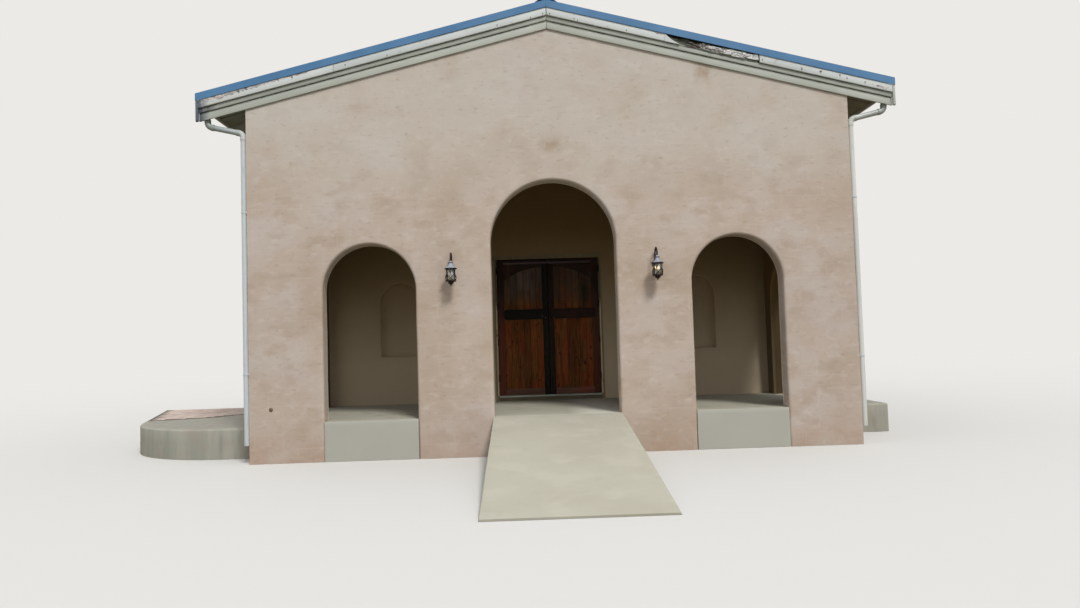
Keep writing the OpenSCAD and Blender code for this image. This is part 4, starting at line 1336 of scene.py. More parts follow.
@dataclass
class Gables:
    """The boards that step out along each rake, at both gables, and the wear of the front's."""

    low_h: float = 0.115
    mid_h: float = 0.070
    up_h: float = 0.110
    low_out: float = 0.026
    mid_out: float = 0.046
    up_out: float = 0.072
    lap: float = 0.01
    end_block: float = 0.034
    end_gap: float = 0.001
    arris: float = 0.004
    slope: float = field(init=False)
    apex_z: float = field(init=False)
    reach: float = field(init=False)
    front_y: float = field(init=False)
    rear_y: float = field(init=False)
    middle: float = field(init=False)
    top: float = field(init=False)
    apex_gap: float = 0.003
    joint_gap: float = 0.002
    joints: tuple[float, ...] = (3.07,)
    rot_joints: Span = (1.70, 3.07)
    tail_l: float = 0.22
    tail_torn: tuple[Span, ...] = (
        (1, 0), (0.7, 0.024), (0.42, 0.050), (0.2, 0.084), (0.06, 0.102),
    )
    butt_gap: float = 0.010
    butt_sunk: float = 0.006
    rot_seed: int = 11
    hollow_sunk: float = 0.006
    gap_depth: Span = (0.004, 0.008)
    rot_gaps: tuple[Triple, ...] = ((1.74, 1.98, 0.034), (2.06, 2.46, 0.026))
    debris: tuple[Debris, ...] = (
        Debris("rake_rot_splinters", ROTTEN_WOOD, 26, (2.00, 2.62), (0.7, 0.85)),
        Debris("rake_rot_curls", FLAKING_PAINT, 96, (2.20, 3.05), (0.85, 1.0)),
    )
    flake_seed: int = 5
    flake_t: float = 0.0006
    flakes_left: tuple[Triple, ...] = (
        (2.95, 3.10, 0.018), (3.38, 3.76, 0.030), (3.72, 4.14, 0.040), (4.06, 4.46, 0.048),
        (4.30, 4.78, 0.058), (4.56, 4.95, 0.066),
    )
    flakes_right: tuple[tuple[float, float, float, float], ...] = (
        (1.54, 1.74, 0.258, 0.290),
        (4.70, 4.94, 0.190, 0.235), (3.93, 3.98, 0.192, 0.262), (3.66, 3.70, 0.200, 0.250),
    )
    end_share: float = 0.15
    bite_power: float = 1.5
    flake_gap: float = 0.002
    flake_teeth: Span = (0.022, 0.018)
    grime_shade_h: float = 0.014
    grime_shade_t: float = 0.0008
    rot_shadow_line: Triple = (2.10, 3.06, 0.030)
    drip: Span = (0.005, 0.030)
    drip_r: float = 0.011
    nail_head: tuple[Span, ...] = ((0, -0.003), (1, -0.003), (0.8, 0.0015), (0, 0.002))
    nail_places: tuple[Triple, ...] = (
        (3.112, 0.234, 0.010), (3.678, 0.220, 0.011), (3.958, 0.247, 0.011), (4.233, 0.258, 0.013),
        (4.334, 0.237, 0.011), (4.594, 0.237, 0.011), (-0.050, 0.216, 0.009), (0.049, 0.210, 0.009),
        (-0.227, 0.205, 0.009), (-0.712, 0.223, 0.009), (0.401, 0.218, 0.009), (0.452, 0.206, 0.009),
        (1.153, 0.219, 0.009), (-3.657, 0.266, 0.014), (-2.30, 0.215, 0.009), (-2.90, 0.240, 0.009),
    )

    def __post_init__(self) -> None:
        """Reads the rake's line and the walls' faces from the frame."""
        low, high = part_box("rake_boards_right")
        self.middle = self.low_h + self.mid_h
        self.top = self.middle + self.up_h
        self.reach = high.x
        self.slope = (high.z - self.top - low.z) / (high.x - low.x)
        self.apex_z = low.z + self.slope * high.x
        self.front_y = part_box("front_wall")[0].y
        self.rear_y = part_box("rear_wall")[1].y

    def line(self, x: float) -> float:
        """Height of the rake's lower edge at a distance from the middle."""
        return self.apex_z - self.slope * abs(x)

    def extruded(
        self, piece: Piece, side: Side, corners: Iterable[Span], depth: Span, round_to: float = 0.0
    ) -> None:
        """Adds an outline that follows the rake, pushed back into a board.

        Args:
            piece: The mesh to add it to.
            side: The slope that it lies on.
            corners: Distance from the middle and rise over the rake's line, of each corner.
            depth: Y of its face and of its back.
            round_to: Width of its rounded edges.
        """
        outline = [(side.value * x, depth[0], self.line(x) + z) for x, z in corners]
        piece.prism(outline, Y * (depth[1] - depth[0]), round_to)

    def board(self, piece: Piece, side: Side, span: Span, rise: Span, depth: Span) -> None:
        """Adds one board with plumb ends.

        Args:
            piece: The mesh to add it to.
            side: The slope that it lies on.
            span: Its two ends, as distances from the middle.
            rise: Its lower and upper edge over the rake's line.
            depth: Y of its face and of its back.
        """
        corners = ((span[0], rise[0]), (span[1], rise[0]), (span[1], rise[1]), (span[0], rise[1]))
        self.extruded(piece, side, corners, depth, self.arris)

    def ragged(
        self, piece: Piece, side: Side, span: Span, rise: Span, depth: Span, draw: random.Random,
        bite: float, step: float = 0.03, down: bool = False, taper: float = 0.25,
    ) -> None:
        """Adds a strip of a board with one torn edge.

        Args:
            piece: The mesh to add it to.
            side: The slope that it lies on.
            span: Its two ends, as distances from the middle.
            rise: Its lower and upper edge over the rake's line.
            depth: Y of its face and of its back.
            draw: Where its random numbers come from.
            bite: How deep the torn edge may be bitten.
            step: Distance from tooth to tooth.
            down: Whether the lower edge is the torn one.
            taper: Share of its length over which each end narrows.
        """
        count = max(3, round((span[1] - span[0]) / step))
        whole, torn = (rise[1], rise[0]) if down else (rise[0], rise[1])
        inward = 1 if down else -1
        corners = [(span[0], whole)]
        for tooth in range(count + 1):
            x = span[0] + (span[1] - span[0]) * tooth / count
            ends = min(1.0, min(tooth, count - tooth) / (count * taper) + self.end_share)
            bitten = draw.random() ** self.bite_power * bite if down else draw.random() * bite
            corners.append((x, whole + (torn + inward * bitten - whole) * ends))
        corners.append((span[1], whole))
        self.extruded(piece, side, corners, depth)

    def build(self) -> None:
        """Builds and dresses the boards of each slope at both gables, and the front gable's wear."""
        for side in Side:
            self.rake(side)
        self.grime_and_shade()
        self.rot()
        self.flaked()
        self.nails()

    def rake(self, side: Side) -> None:
        """Builds one slope's boards at both gables: lower, middle strip, upper and end blocks.

        Args:
            side: The slope.
        """
        node = "rake_boards_" + side.word
        lower, strip, upper = Piece(node + "_lower"), Piece(node + "_middle"), Piece(node + "_upper")
        start, end = self.apex_gap, self.reach - self.end_block - self.end_gap
        for face, way in ((self.front_y, -1), (self.rear_y, 1)):
            depth = (face + way * self.low_out, face)
            self.board(lower, side, (start, end), (0, self.low_h + self.lap), depth)
            depth = (face + way * self.mid_out, face)
            self.board(strip, side, (start, end), (self.low_h, self.middle + self.lap), depth)
            rotten = side is Side.RIGHT and way < 0
            stops = (start, *(self.rot_joints if rotten else self.joints), end)
            for number, (near, far) in enumerate(zip(stops, stops[1:])):
                if rotten and number == 1:
                    continue
                span = (near + self.joint_gap, far - self.joint_gap)
                self.board(upper, side, span, (self.middle, self.top), (face + way * self.up_out, face))
            if way < 0 and side is Side.LEFT:
                continue
            depth = (face + way * (self.up_out + self.end_gap), face + way * self.low_out)
            self.board(lower, side, (self.reach - self.end_block, self.reach), (0, self.top), depth)
        if side is Side.RIGHT:
            self.tail(upper)
        lower.place(TRIM_PAINT, "trim_wood", node)
        strip.place(MIDDLE_PAINT, "trim_wood")
        upper.place(UPPER_PAINT, "trim_wood")

    def tail(self, piece: Piece) -> None:
        """Adds the tail that is left of the painted board where the rot starts.

        Args:
            piece: The painted boards of the right slope.
        """
        first = self.rot_joints[0]
        torn = ((first + share * self.tail_l, self.middle + rise) for share, rise in self.tail_torn)
        depth = (self.front_y - self.up_out, self.front_y)
        self.extruded(piece, Side.RIGHT, [(first, self.middle), *torn, (first, self.top)], depth)

    def grime_and_shade(self) -> None:
        """Builds the dark lines in the corners under the middle strip and the upper board: dirt with painted
        shade, and a deeper painted shadow under the rot.
        """
        grime_and_shade = Piece("rake_corner_grime_and_painted_shade")
        draw = random.Random(self.flake_seed)
        span = (self.apex_gap + 0.002, self.reach - self.end_block - 0.003)
        for side in Side:
            for face, way in ((self.front_y, -1), (self.rear_y, 1)):
                for rise, out in ((self.low_h, self.low_out), (self.middle, self.mid_out)):
                    depth = (face + way * (out + self.grime_shade_t), face + way * (out - self.grime_shade_t))
                    edges = (rise - self.grime_shade_h, rise)
                    self.ragged(grime_and_shade, side, span, edges, depth, draw, 0.6 * self.grime_shade_h, 0.05, True, 0.01)
        # Painted shadow: a deeper dark line under the rotted stretch.
        start, end, fall = self.rot_shadow_line
        depth = (self.front_y - self.mid_out - 1.5 * self.grime_shade_t, self.front_y - self.mid_out)
        edges = (self.middle - fall, self.middle)
        self.ragged(grime_and_shade, Side.RIGHT, (start, end), edges, depth, draw, self.grime_shade_h, 0.03, True)
        grime_and_shade.place(CORNER_GRIME_AND_SHADE, "trim_wood")

    def rot(self) -> None:
        """Builds the rotted stretch of the front's right upper board: a hollow full of debris."""
        first, last = self.rot_joints
        edges = (self.middle, self.top)
        strip_y = self.front_y - self.mid_out
        hollow = Piece("rake_rot_hollow")
        depth = (strip_y + self.hollow_sunk, self.front_y)
        self.board(hollow, Side.RIGHT, (first, last - self.joint_gap), edges, depth)
        hollow.place(ROT_HOLLOW, "trim_wood")
        draw = random.Random(self.rot_seed)
        # Black strips of painted shade in the gaps under the trim and at the butt joint.
        gaps = Piece("rake_rot_gap_shade")
        near, far = self.gap_depth
        for start, end, deep in self.rot_gaps:
            rise, depth = (self.top - deep, self.top), (strip_y + near, strip_y + far)
            self.ragged(gaps, Side.RIGHT, (start, end), rise, depth, draw, 0.5 * deep, 0.03, True)
        depth = (self.front_y - self.up_out + self.butt_sunk, self.front_y)
        self.board(gaps, Side.RIGHT, (last - self.butt_gap, last), edges, depth)
        gaps.place(GAP_SHADE, "trim_wood")
        for debris in self.debris:
            self.scatter(debris, draw)

    def scatter(self, debris: Debris, draw: random.Random) -> None:
        """Builds the torn bits of one kind.

        Args:
            debris: What they are and where they stand.
            draw: Where the random numbers come from.
        """
        piece = Piece(debris.name)
        (first, last), (room_low, room_high) = debris.span, debris.room
        for number in range(debris.count):
            share = (number + draw.random()) / debris.count
            x = first + share * (last - first)
            room = (self.top - self.middle) * (room_low + (room_high - room_low) * share)
            low = self.middle + debris.low + draw.uniform(0.0, debris.low_share) * room
            high = min(low + draw.uniform(*debris.height), self.middle + room)
            if high - low < debris.low:
                continue
            sunk = (1.0 - debris.level_share * share) * (self.up_out - self.mid_out)
            face = self.front_y - (self.up_out - debris.clear - draw.uniform(0.0, sunk))
            span = (x, min(x + draw.uniform(*debris.length), self.rot_joints[1] - debris.thick))
            depth, bite = (face, face + debris.thick), debris.bite_share * (high - low)
            self.ragged(piece, Side.RIGHT, span, (low, high), depth, draw, bite, debris.tooth)
        piece.place(debris.finish, "trim_wood")

    def flaked(self) -> None:
        """Builds the bare patches, along the left board's upper edge and by the rot, and its soaked end."""
        draw = random.Random(self.flake_seed)
        bare = Piece("rake_flaked_patches")
        face = self.front_y - self.up_out
        left_tooth, right_tooth = self.flake_teeth
        for number, (start, end, deep) in enumerate(self.flakes_left):
            rise = (self.top - deep, self.top - self.flake_gap)
            depth = (face - self.flake_t * (number + 1), face + self.flake_t)
            self.ragged(bare, Side.LEFT, (start, end), rise, depth, draw, 0.6 * deep, left_tooth, True)
        for start, end, *rise in self.flakes_right:
            bite = 0.5 * (rise[1] - rise[0])
            depth = (face - self.flake_t, face + self.flake_t)
            self.ragged(bare, Side.RIGHT, (start, end), rise, depth, draw, bite, right_tooth, True)
        bare.place(BARE_WOOD, "trim_wood")
        stained = Piece("rake_end_stained")
        depth = (face - self.end_gap, self.front_y - self.low_out)
        self.board(stained, Side.LEFT, (self.reach - self.end_block, self.reach), (0, self.top), depth)
        stained.place(STAINED_WOOD, "trim_wood")

    def nails(self) -> None:
        """Builds the nail heads, which have rusted through the paint, and the drips under them."""
        nails = Piece("rake_nails")
        for x, rise, radius in self.nail_places:
            centre = Vector((x, self.front_y - self.up_out, self.line(x) + rise))
            nails.turned([(share * radius, z) for share, z in self.nail_head], centre, 10, LYING)
            half, fall = self.drip[0] / 2, self.drip[1] * radius / self.drip_r
            nails.block(centre - Vector((half, self.flake_t, fall)), centre + Vector((half, self.flake_t, 0)))
        nails.place(RUST, "door_iron")


@dataclass
class DoorLeaf:
    """One leaf of the doors: framed and planked, with a dark cross board and a bar with painted highlight."""

    side: Side
    rail_end: float
    screws: tuple[Span, ...]
    outer_stile: float = 0.122
    meeting_stile: float = 0.096
    bottom_rail: float = 0.118
    rail_low: float = 1.345
    rail_high: float = 1.525
    rail_out: float = 0.010
    rail_round: float = 0.045
    seat: float = 0.001
    top_rail: float = 0.148
    arch_drop: float = 0.240
    arch_steps: int = 14
    arris: float = 0.003
    sunk: float = 0.012
    planks: int = 6
    plank_back: float = 0.004
    groove: float = 0.005
    tongue: float = 0.01
    behind_cross: float = 0.02
    behind_arch: float = 0.03
    joint_half: float = 0.0055
    joint_sunk: float = 0.0012
    joint_back: float = 0.006
    joint_up: float = 0.02
    screw_r: float = 0.007
    screw_head: tuple[Span, ...] = ((0, -0.002), (1, -0.002), (1, 0.001), (0.6, 0.0035), (0, 0.0042))
    bar_r: float = 0.036
    bar_out: float = 0.012
    bar_down: float = 0.062
    bead_xs: Span = (0.0125, 0.0285)
    bead_ys: Span = (-0.004, 0.002)
    bead_round: float = 0.002
    thick: float = 0.045
    face_y: float = 2.795

    def __post_init__(self) -> None:
        """Reads the leaf's size from the frame."""
        node = "door_leaf_" + self.side.word
        low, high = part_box(node)
        self.foot, self.top = low.z, high.z
        self.meet, self.hinge = distances(node)
        self.inner, self.outer = self.meet + self.meeting_stile, self.hinge - self.outer_stile
        self.low, self.high = self.foot + self.rail_low, self.foot + self.rail_high
        self.back_y = self.face_y + self.thick
        self.body = Body["DOOR_" + self.side.name]

    def point(self, x: float, y: float, z: float) -> Vector:
        """A point of this leaf, from its distance to the middle, its depth and its height."""
        return Vector((self.side.value * x, y, z))

    def box(self, piece: Piece, xs: Span, ys: Span, zs: Span, round_to: float) -> None:
        """Adds a board between distances from the middle, depths and heights.

        Args:
            piece: The mesh to add it to.
            xs: Nearer and farther distance from the middle.
            ys: Front and back.
            zs: Foot and top.
            round_to: Width of its rounded edges.
        """
        x0, x1 = self.side.ends(*xs)
        piece.block((x0, ys[0], zs[0]), (x1, ys[1], zs[1]), round_to)

    def arch_z(self, x: float) -> float:
        """Height of the top rail's lower edge: an arch that falls from the meeting stile."""
        width = self.outer - self.inner
        radius = (width ** 2 + self.arch_drop ** 2) / (2 * self.arch_drop)
        return self.top - self.top_rail - radius + math.sqrt(radius ** 2 - (x - self.inner) ** 2)

    def build(self) -> None:
        """Builds and dresses the leaf, and the bead on the jamb beside it."""
        self.planking()
        self.framing()
        self.cross()
        self.bar()
        self.fittings()

    def planking(self) -> None:
        """Builds the planks below and above the cross board, and the dark joints between them."""
        planks = Piece("door_planks_" + self.side.word)
        width = (self.outer - self.inner) / self.planks
        foot, front = self.foot + self.bottom_rail - self.tongue, self.face_y + self.sunk
        ys = (front, self.back_y - self.plank_back)
        for number in range(self.planks):
            xs = (self.inner + number * width, self.inner + (number + 1) * width)
            self.box(planks, xs, ys, (foot, self.low + self.behind_cross), self.groove)
            crown = max(self.arch_z(xs[0]), self.arch_z(min(xs[1], self.outer))) + self.behind_arch
            self.box(planks, xs, ys, (self.high - self.behind_cross, crown), self.groove)
        planks.place(PLANK_STAIN_AND_SHADE, "door_wood", "door_leaf_" + self.side.word, body=self.body)
        joints = Piece("door_joints_" + self.side.word)
        ys = (front + self.joint_sunk, self.back_y - self.joint_back)
        for number in range(self.planks + 1):
            middle = self.inner + number * width
            crown = self.arch_z(min(max(middle, self.inner), self.outer)) + self.joint_up
            self.box(joints, (middle - self.joint_half, middle + self.joint_half), ys, (foot, crown), 0)
        joints.place(JOINT_STAIN, "door_wood", body=self.body)

    def framing(self) -> None:
        """Builds the bottom rail, the outer stile and the arched top rail."""
        ys = (self.face_y, self.back_y)
        bottom = Piece("door_bottom_rail_" + self.side.word)
        zs = (self.foot, self.foot + self.bottom_rail - self.joint_half)
        self.box(bottom, (self.inner, self.outer), ys, zs, self.arris)
        bottom.place(RAIL_STAIN, "door_wood", body=self.body)
        stiles = Piece("door_stiles_" + self.side.word)
        self.box(stiles, (self.outer, self.hinge), ys, (self.foot, self.top), self.arris)
        width = self.outer - self.inner
        xs = [self.inner + width * step / self.arch_steps for step in range(self.arch_steps + 1)]
        rail = [(x, self.arch_z(x)) for x in xs] + [(self.outer, self.top), (self.inner, self.top)]
        stiles.prism([self.point(x, self.face_y, z) for x, z in rail], Y * self.thick, self.arris)
        stiles.place(STILE_STAIN_AND_SHADE, "door_wood", body=self.body)

    def cross(self) -> None:
        """Builds the meeting stile and the raised cross board with its rounded end."""
        cross = Piece("door_cross_" + self.side.word)
        ys = (self.face_y, self.back_y)
        self.box(cross, (self.meet, self.inner), ys, (self.foot, self.top), self.arris)
        end, r = self.hinge - self.rail_end, self.rail_round
        corner = [(end - r + r * s, self.high - r + r * c) for c, s in arc(0, 90, 6)]
        lower = [(x, self.low + self.high - z) for x, z in reversed(corner)]
        outline = [(self.meet, self.high), *corner, *lower, (self.meet, self.low)]
        face = self.face_y - self.rail_out
        push = Y * (self.rail_out + self.seat)
        cross.prism([self.point(x, face, z) for x, z in outline], push, self.arris)
        cross.place(CROSS_STAIN, "door_wood", body=self.body)

    def bar(self) -> None:
        """Builds the rounded bar that stands out under the leaf's top."""
        bar = Piece("door_moulding_" + self.side.word)
        r, middle = self.bar_r, self.top - self.bar_down
        centre_y = self.face_y + r - self.bar_out
        spread = math.degrees(math.acos((r - self.bar_out) / r))
        profile = [(centre_y - r * c, middle + r * s) for c, s in arc(-spread, spread, 8)]
        push = X * self.side.value * (self.outer - self.meet)
        bar.prism([self.point(self.meet, y, z) for y, z in profile], push)
        # The bar's purplish finish is a painted highlight.
        bar.place(BAR_STAIN_AND_HIGHLIGHT, "door_wood", body=self.body)

    def fittings(self) -> None:
        """Builds the lock's screw heads on the cross, and the bead along the jamb as painted highlight and
        shade.
        """
        screws = Piece("door_screws_" + self.side.word)
        profile = [(share * self.screw_r, z) for share, z in self.screw_head]
        for x, z in self.screws:
            screws.turned(profile, self.point(x, self.face_y - self.rail_out, z), 12, LYING)
        screws.place(ZINC, "door_iron", body=self.body)
        # The bead is a painted highlight on the jamb's edge, with painted shade over its top.
        bead = Piece("door_bead_highlight_" + self.side.word)
        low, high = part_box("door_jamb_" + self.side.word)
        xs = (self.hinge + self.bead_xs[0], self.hinge + self.bead_xs[1])
        ys = (low.y + self.bead_ys[0], low.y + self.bead_ys[1])
        self.box(bead, xs, ys, (self.foot, high.z), self.bead_round)
        bead.place(BEAD_HIGHLIGHT_AND_SHADE, "trim_wood")


@dataclass
class Lantern:
    """A wall lantern: plate, arm, bell roof, barred cage, glass, candles, bowl and finial.

    The profiles give radius and height over the rim, or over the part's own foot.
    """

    side: Side
    strapped: bool = False
    bulb: Finish = HIGHLIGHT_BULB
    away_x: float = 1.455
    rim_z: float = 2.660
    out: float = 0.190
    bell_r: float = 0.089
    neck_r: float = 0.033
    bell_h: float = 0.084
    neck_h: float = 0.006
    dome_r: float = 0.027
    cage_top: float = 0.082
    cage_foot: float = 0.073
    cage_h: float = 0.172
    foot_t: float = 0.009
    bar: float = 0.0062
    cross_bar: float = 0.0052
    cross_bar_z: float = -0.07
    cross_bar_steps: int = 8
    strap_r: float = 0.0045
    strap_angle: float = 205
    strap_off: Span = (0.004, 0.003)
    strap_start: Span = (0.012, 0.024)
    strap_end: Span = (0.003, -0.012)
    bowl_r: float = 0.043
    finial_r: float = 0.012
    arm_r: float = 0.0115
    arm_top: float = 0.240
    arm_foot: float = -0.03
    arm_gap: float = 0.001
    arm_sunk: float = 0.006
    candle_away: float = 0.030
    plate: tuple[Span, ...] = (
        (0, 0), (0.050, 0), (0.050, 0.004), (0.043, 0.009), (0.025, 0.012), (0.012, 0.018), (0, 0.018),
    )
    ring: tuple[Span, ...] = (
        (0, 0.076), (0.034, 0.076), (0.037, 0.079), (0.037, 0.083), (0.034, 0.086), (0, 0.086),
    )
    rim: tuple[Span, ...] = (
        (0.076, -0.009), (0.082, -0.009), (0.090, -0.003), (0.090, 0.003), (0.082, 0.004),
        (0.076, -0.002), (0.076, -0.009),
    )
    foot: tuple[Span, ...] = (
        (0, 0), (0.071, 0), (0.075, 0.004), (0.075, 0.016), (0.070, 0.020), (0.063, 0.020), (0, 0.009),
    )
    glass: tuple[Span, ...] = (
        (0.061, -0.172), (0.070, -0.010), (0.068, -0.010), (0.059, -0.172), (0.061, -0.172),
    )
    candle: tuple[Span, ...] = ((0, 0), (0.010, 0), (0.010, 0.078), (0.006, 0.081), (0, 0.081))
    flame: tuple[Span, ...] = (
        (0, 0.080), (0.007, 0.084), (0.012, 0.096), (0.010, 0.112), (0.004, 0.128), (0, 0.134),
    )

    def __post_init__(self) -> None:
        """Finds the lantern's axis from the front wall's face."""
        low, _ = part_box("front_wall")
        self.name = "lantern_" + self.side.word
        self.wall_y = low.y
        self.centre = Vector((self.side.value * self.away_x, low.y - self.out, self.rim_z))
        self.low = -self.cage_h - self.foot_t

    def at(self, angle: float, radius: float, z: float) -> Vector:
        """A point round the lantern's axis, by its angle in degrees, below or above its rim."""
        turn = math.radians(angle)
        return self.centre + Vector((radius * math.cos(turn), radius * math.sin(turn), z))

    def build(self) -> None:
        """Builds and dresses the metalwork, the roof, the glass and the candles."""
        self.metal()
        self.roof()
        self.lights()

    def metal(self) -> None:
        """Builds the plate, arm, rings, strap, bars, bowl and finial as one piece."""
        metal = Piece(self.name + "_metalwork")
        metal.turned(self.plate, Vector((self.centre.x, self.wall_y, self.rim_z)), 28, LYING)
        metal.turned(self.ring, self.centre, 28)
        metal.rod(self.arm_path(), self.arm_r, 12)
        metal.turned(self.rim, self.centre, 32)
        metal.turned([(r, self.low + z) for r, z in self.foot], self.centre, 32)
        if self.strapped:
            metal.rod(self.strap_path(), self.strap_r, 8)
        self.bars(metal)
        bowl = [(self.bowl_r * s, self.low - self.bowl_r * c) for c, s in arc(0, 90, 9)]
        metal.turned([*bowl, (0, self.low)], self.centre, 28)
        drop = self.low - self.bowl_r - 0.5 * self.finial_r
        ball = [(self.finial_r * s, drop - self.finial_r * c) for c, s in arc(0, 160, 8)]
        metal.turned([*ball, (0, drop + self.finial_r)], self.centre, 16)
        metal.place(BRONZE, "lantern_metal", self.name)

    def arm_path(self) -> list[Vector]:
        """The arm's way from the dome up and over, and down behind the lantern to the plate."""
        bend = (self.out - 2 * self.arm_r - self.arm_gap) / 2
        spring = self.arm_top - bend - self.arm_r
        start = self.centre + Z * (self.bell_h + self.dome_r - self.arm_sunk)
        over = [self.centre + Vector((0, bend - bend * c, spring + bend * s)) for c, s in arc(0, 180, 12)]
        return [start, *over, self.centre + Vector((0, 2 * bend, self.arm_foot))]

    def strap_path(self) -> list[Vector]:
        """The way of the iron strap over the roof's left, from the dome down past the rim."""
        (first_r, first_z), (last_r, last_z) = self.strap_start, self.strap_end
        off_r, off_z = self.strap_off
        over = [(r + off_r, z + off_z) for r, z in reversed(self.flare())]
        path = [(first_r, self.bell_h + first_z), *over, (self.bell_r + last_r, last_z)]
        return [self.at(self.strap_angle, r, z) for r, z in path]

    def bars(self, metal: Piece) -> None:
        """Adds the cage's four posts, and the two bars that bow from each to its neighbours' feet.

        Args:
            metal: The lantern's metalwork.
        """
        for angle in (45, 135, 225, 315):
            top = self.at(angle, self.cage_top - 0.004, -0.004)
            metal.rod([top, self.at(angle, self.cage_foot - 0.004, self.low + 0.006)], self.bar, 8)
            for way in (-1, 1):
                path = []
                for step in range(self.cross_bar_steps + 1):
                    share = step / self.cross_bar_steps
                    radius = self.cage_foot - 0.002 + 0.004 * (1 - share)
                    z = self.cross_bar_z + (self.low + 0.006 - self.cross_bar_z) * share
                    path.append(self.at(angle + way * 90 * share ** 1.3, radius, z))
                metal.rod(path, self.cross_bar, 6)

    def roof(self) -> None:
        """Builds the flared roof and its dome."""
        roof = Piece(self.name + "_roof")
        foot = [(0, 0.002), (self.bell_r - 0.004, 0.002)]
        roof.turned([*foot, *self.flare(), (0, self.bell_h)], self.centre, 32)
        dome = [(self.dome_r * c, self.bell_h + self.dome_r * s) for c, s in arc(0, 72, 8)]
        roof.turned([(0, self.bell_h - 0.004), *dome, (0, self.bell_h + self.dome_r)], self.centre, 24)
        roof.place(BLOOM, "lantern_metal")

    def flare(self) -> list[Span]:
        """The bell roof's profile: radius and height of each point, from the rim to the neck."""
        width, height = self.bell_r - self.neck_r, self.bell_h - self.neck_h
        radius = (width ** 2 + height ** 2) / (2 * width)
        sweep = math.degrees(math.asin(height / radius))
        points = arc(sweep, 0, 10)
        return [(self.neck_r + radius - radius * c, self.bell_h - radius * s) for c, s in points]

    def lights(self) -> None:
        """Builds the glass, and the candles with their bulbs."""
        glass = Piece(self.name + "_glass")
        glass.turned(self.glass, self.centre, 32)
        glass.place(LANTERN_GLASS, "lantern_glass", "lantern_glass_" + self.side.word)
        tubes, bulbs = Piece(self.name + "_candles"), Piece(self.name + "_bulbs")
        for angle in (-60, 60, 180):
            spot = self.at(angle, self.candle_away, -self.cage_h)
            tubes.turned(self.candle, spot, 14)
            bulbs.turned(self.flame, spot, 14)
        tubes.place(CANDLE, "lantern_glass")
        bulbs.place(self.bulb, "lantern_glass")


@dataclass
class Windows:
    """The glazing bars: one upright and three level ones in every window."""

    width: float = 0.72
    member: float = 0.055
    count: int = 3
    bar_w: float = 0.022
    bar_d: float = 0.034
    bar_round: float = 0.003
    pane_h: float = 0.35
    level_bars: int = 3
    glass_t: float = 0.008
    into: float = 0.005

    def build(self) -> None:
        """Builds and dresses the bars of all windows, which run through their glass into the frames."""
        low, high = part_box("window_glass")
        frames_low, frames_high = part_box("window_frames")
        first, last = frames_low.y + self.width / 2, frames_high.y - self.width / 2
        half = self.width / 2 - self.member + self.into
        thin = self.bar_w / 2
        bars = Piece("window_bars")
        for side in Side:
            middle = side.value * (high.x - self.glass_t / 2)
            xs = (middle - self.bar_d / 2, middle + self.bar_d / 2)
            for number in range(self.count):
                y = first + (last - first) * number / (self.count - 1)
                feet = (xs[0], y - thin, low.z - self.into)
                bars.block(feet, (xs[1], y + thin, high.z + self.into), self.bar_round)
                for bar in range(self.level_bars):
                    z = low.z + (bar + 1) * self.pane_h
                    bars.block((xs[0], y - half, z - thin), (xs[1], y + half, z + thin), self.bar_round)
        bars.place(WINDOW_PAINT, "window_frame")


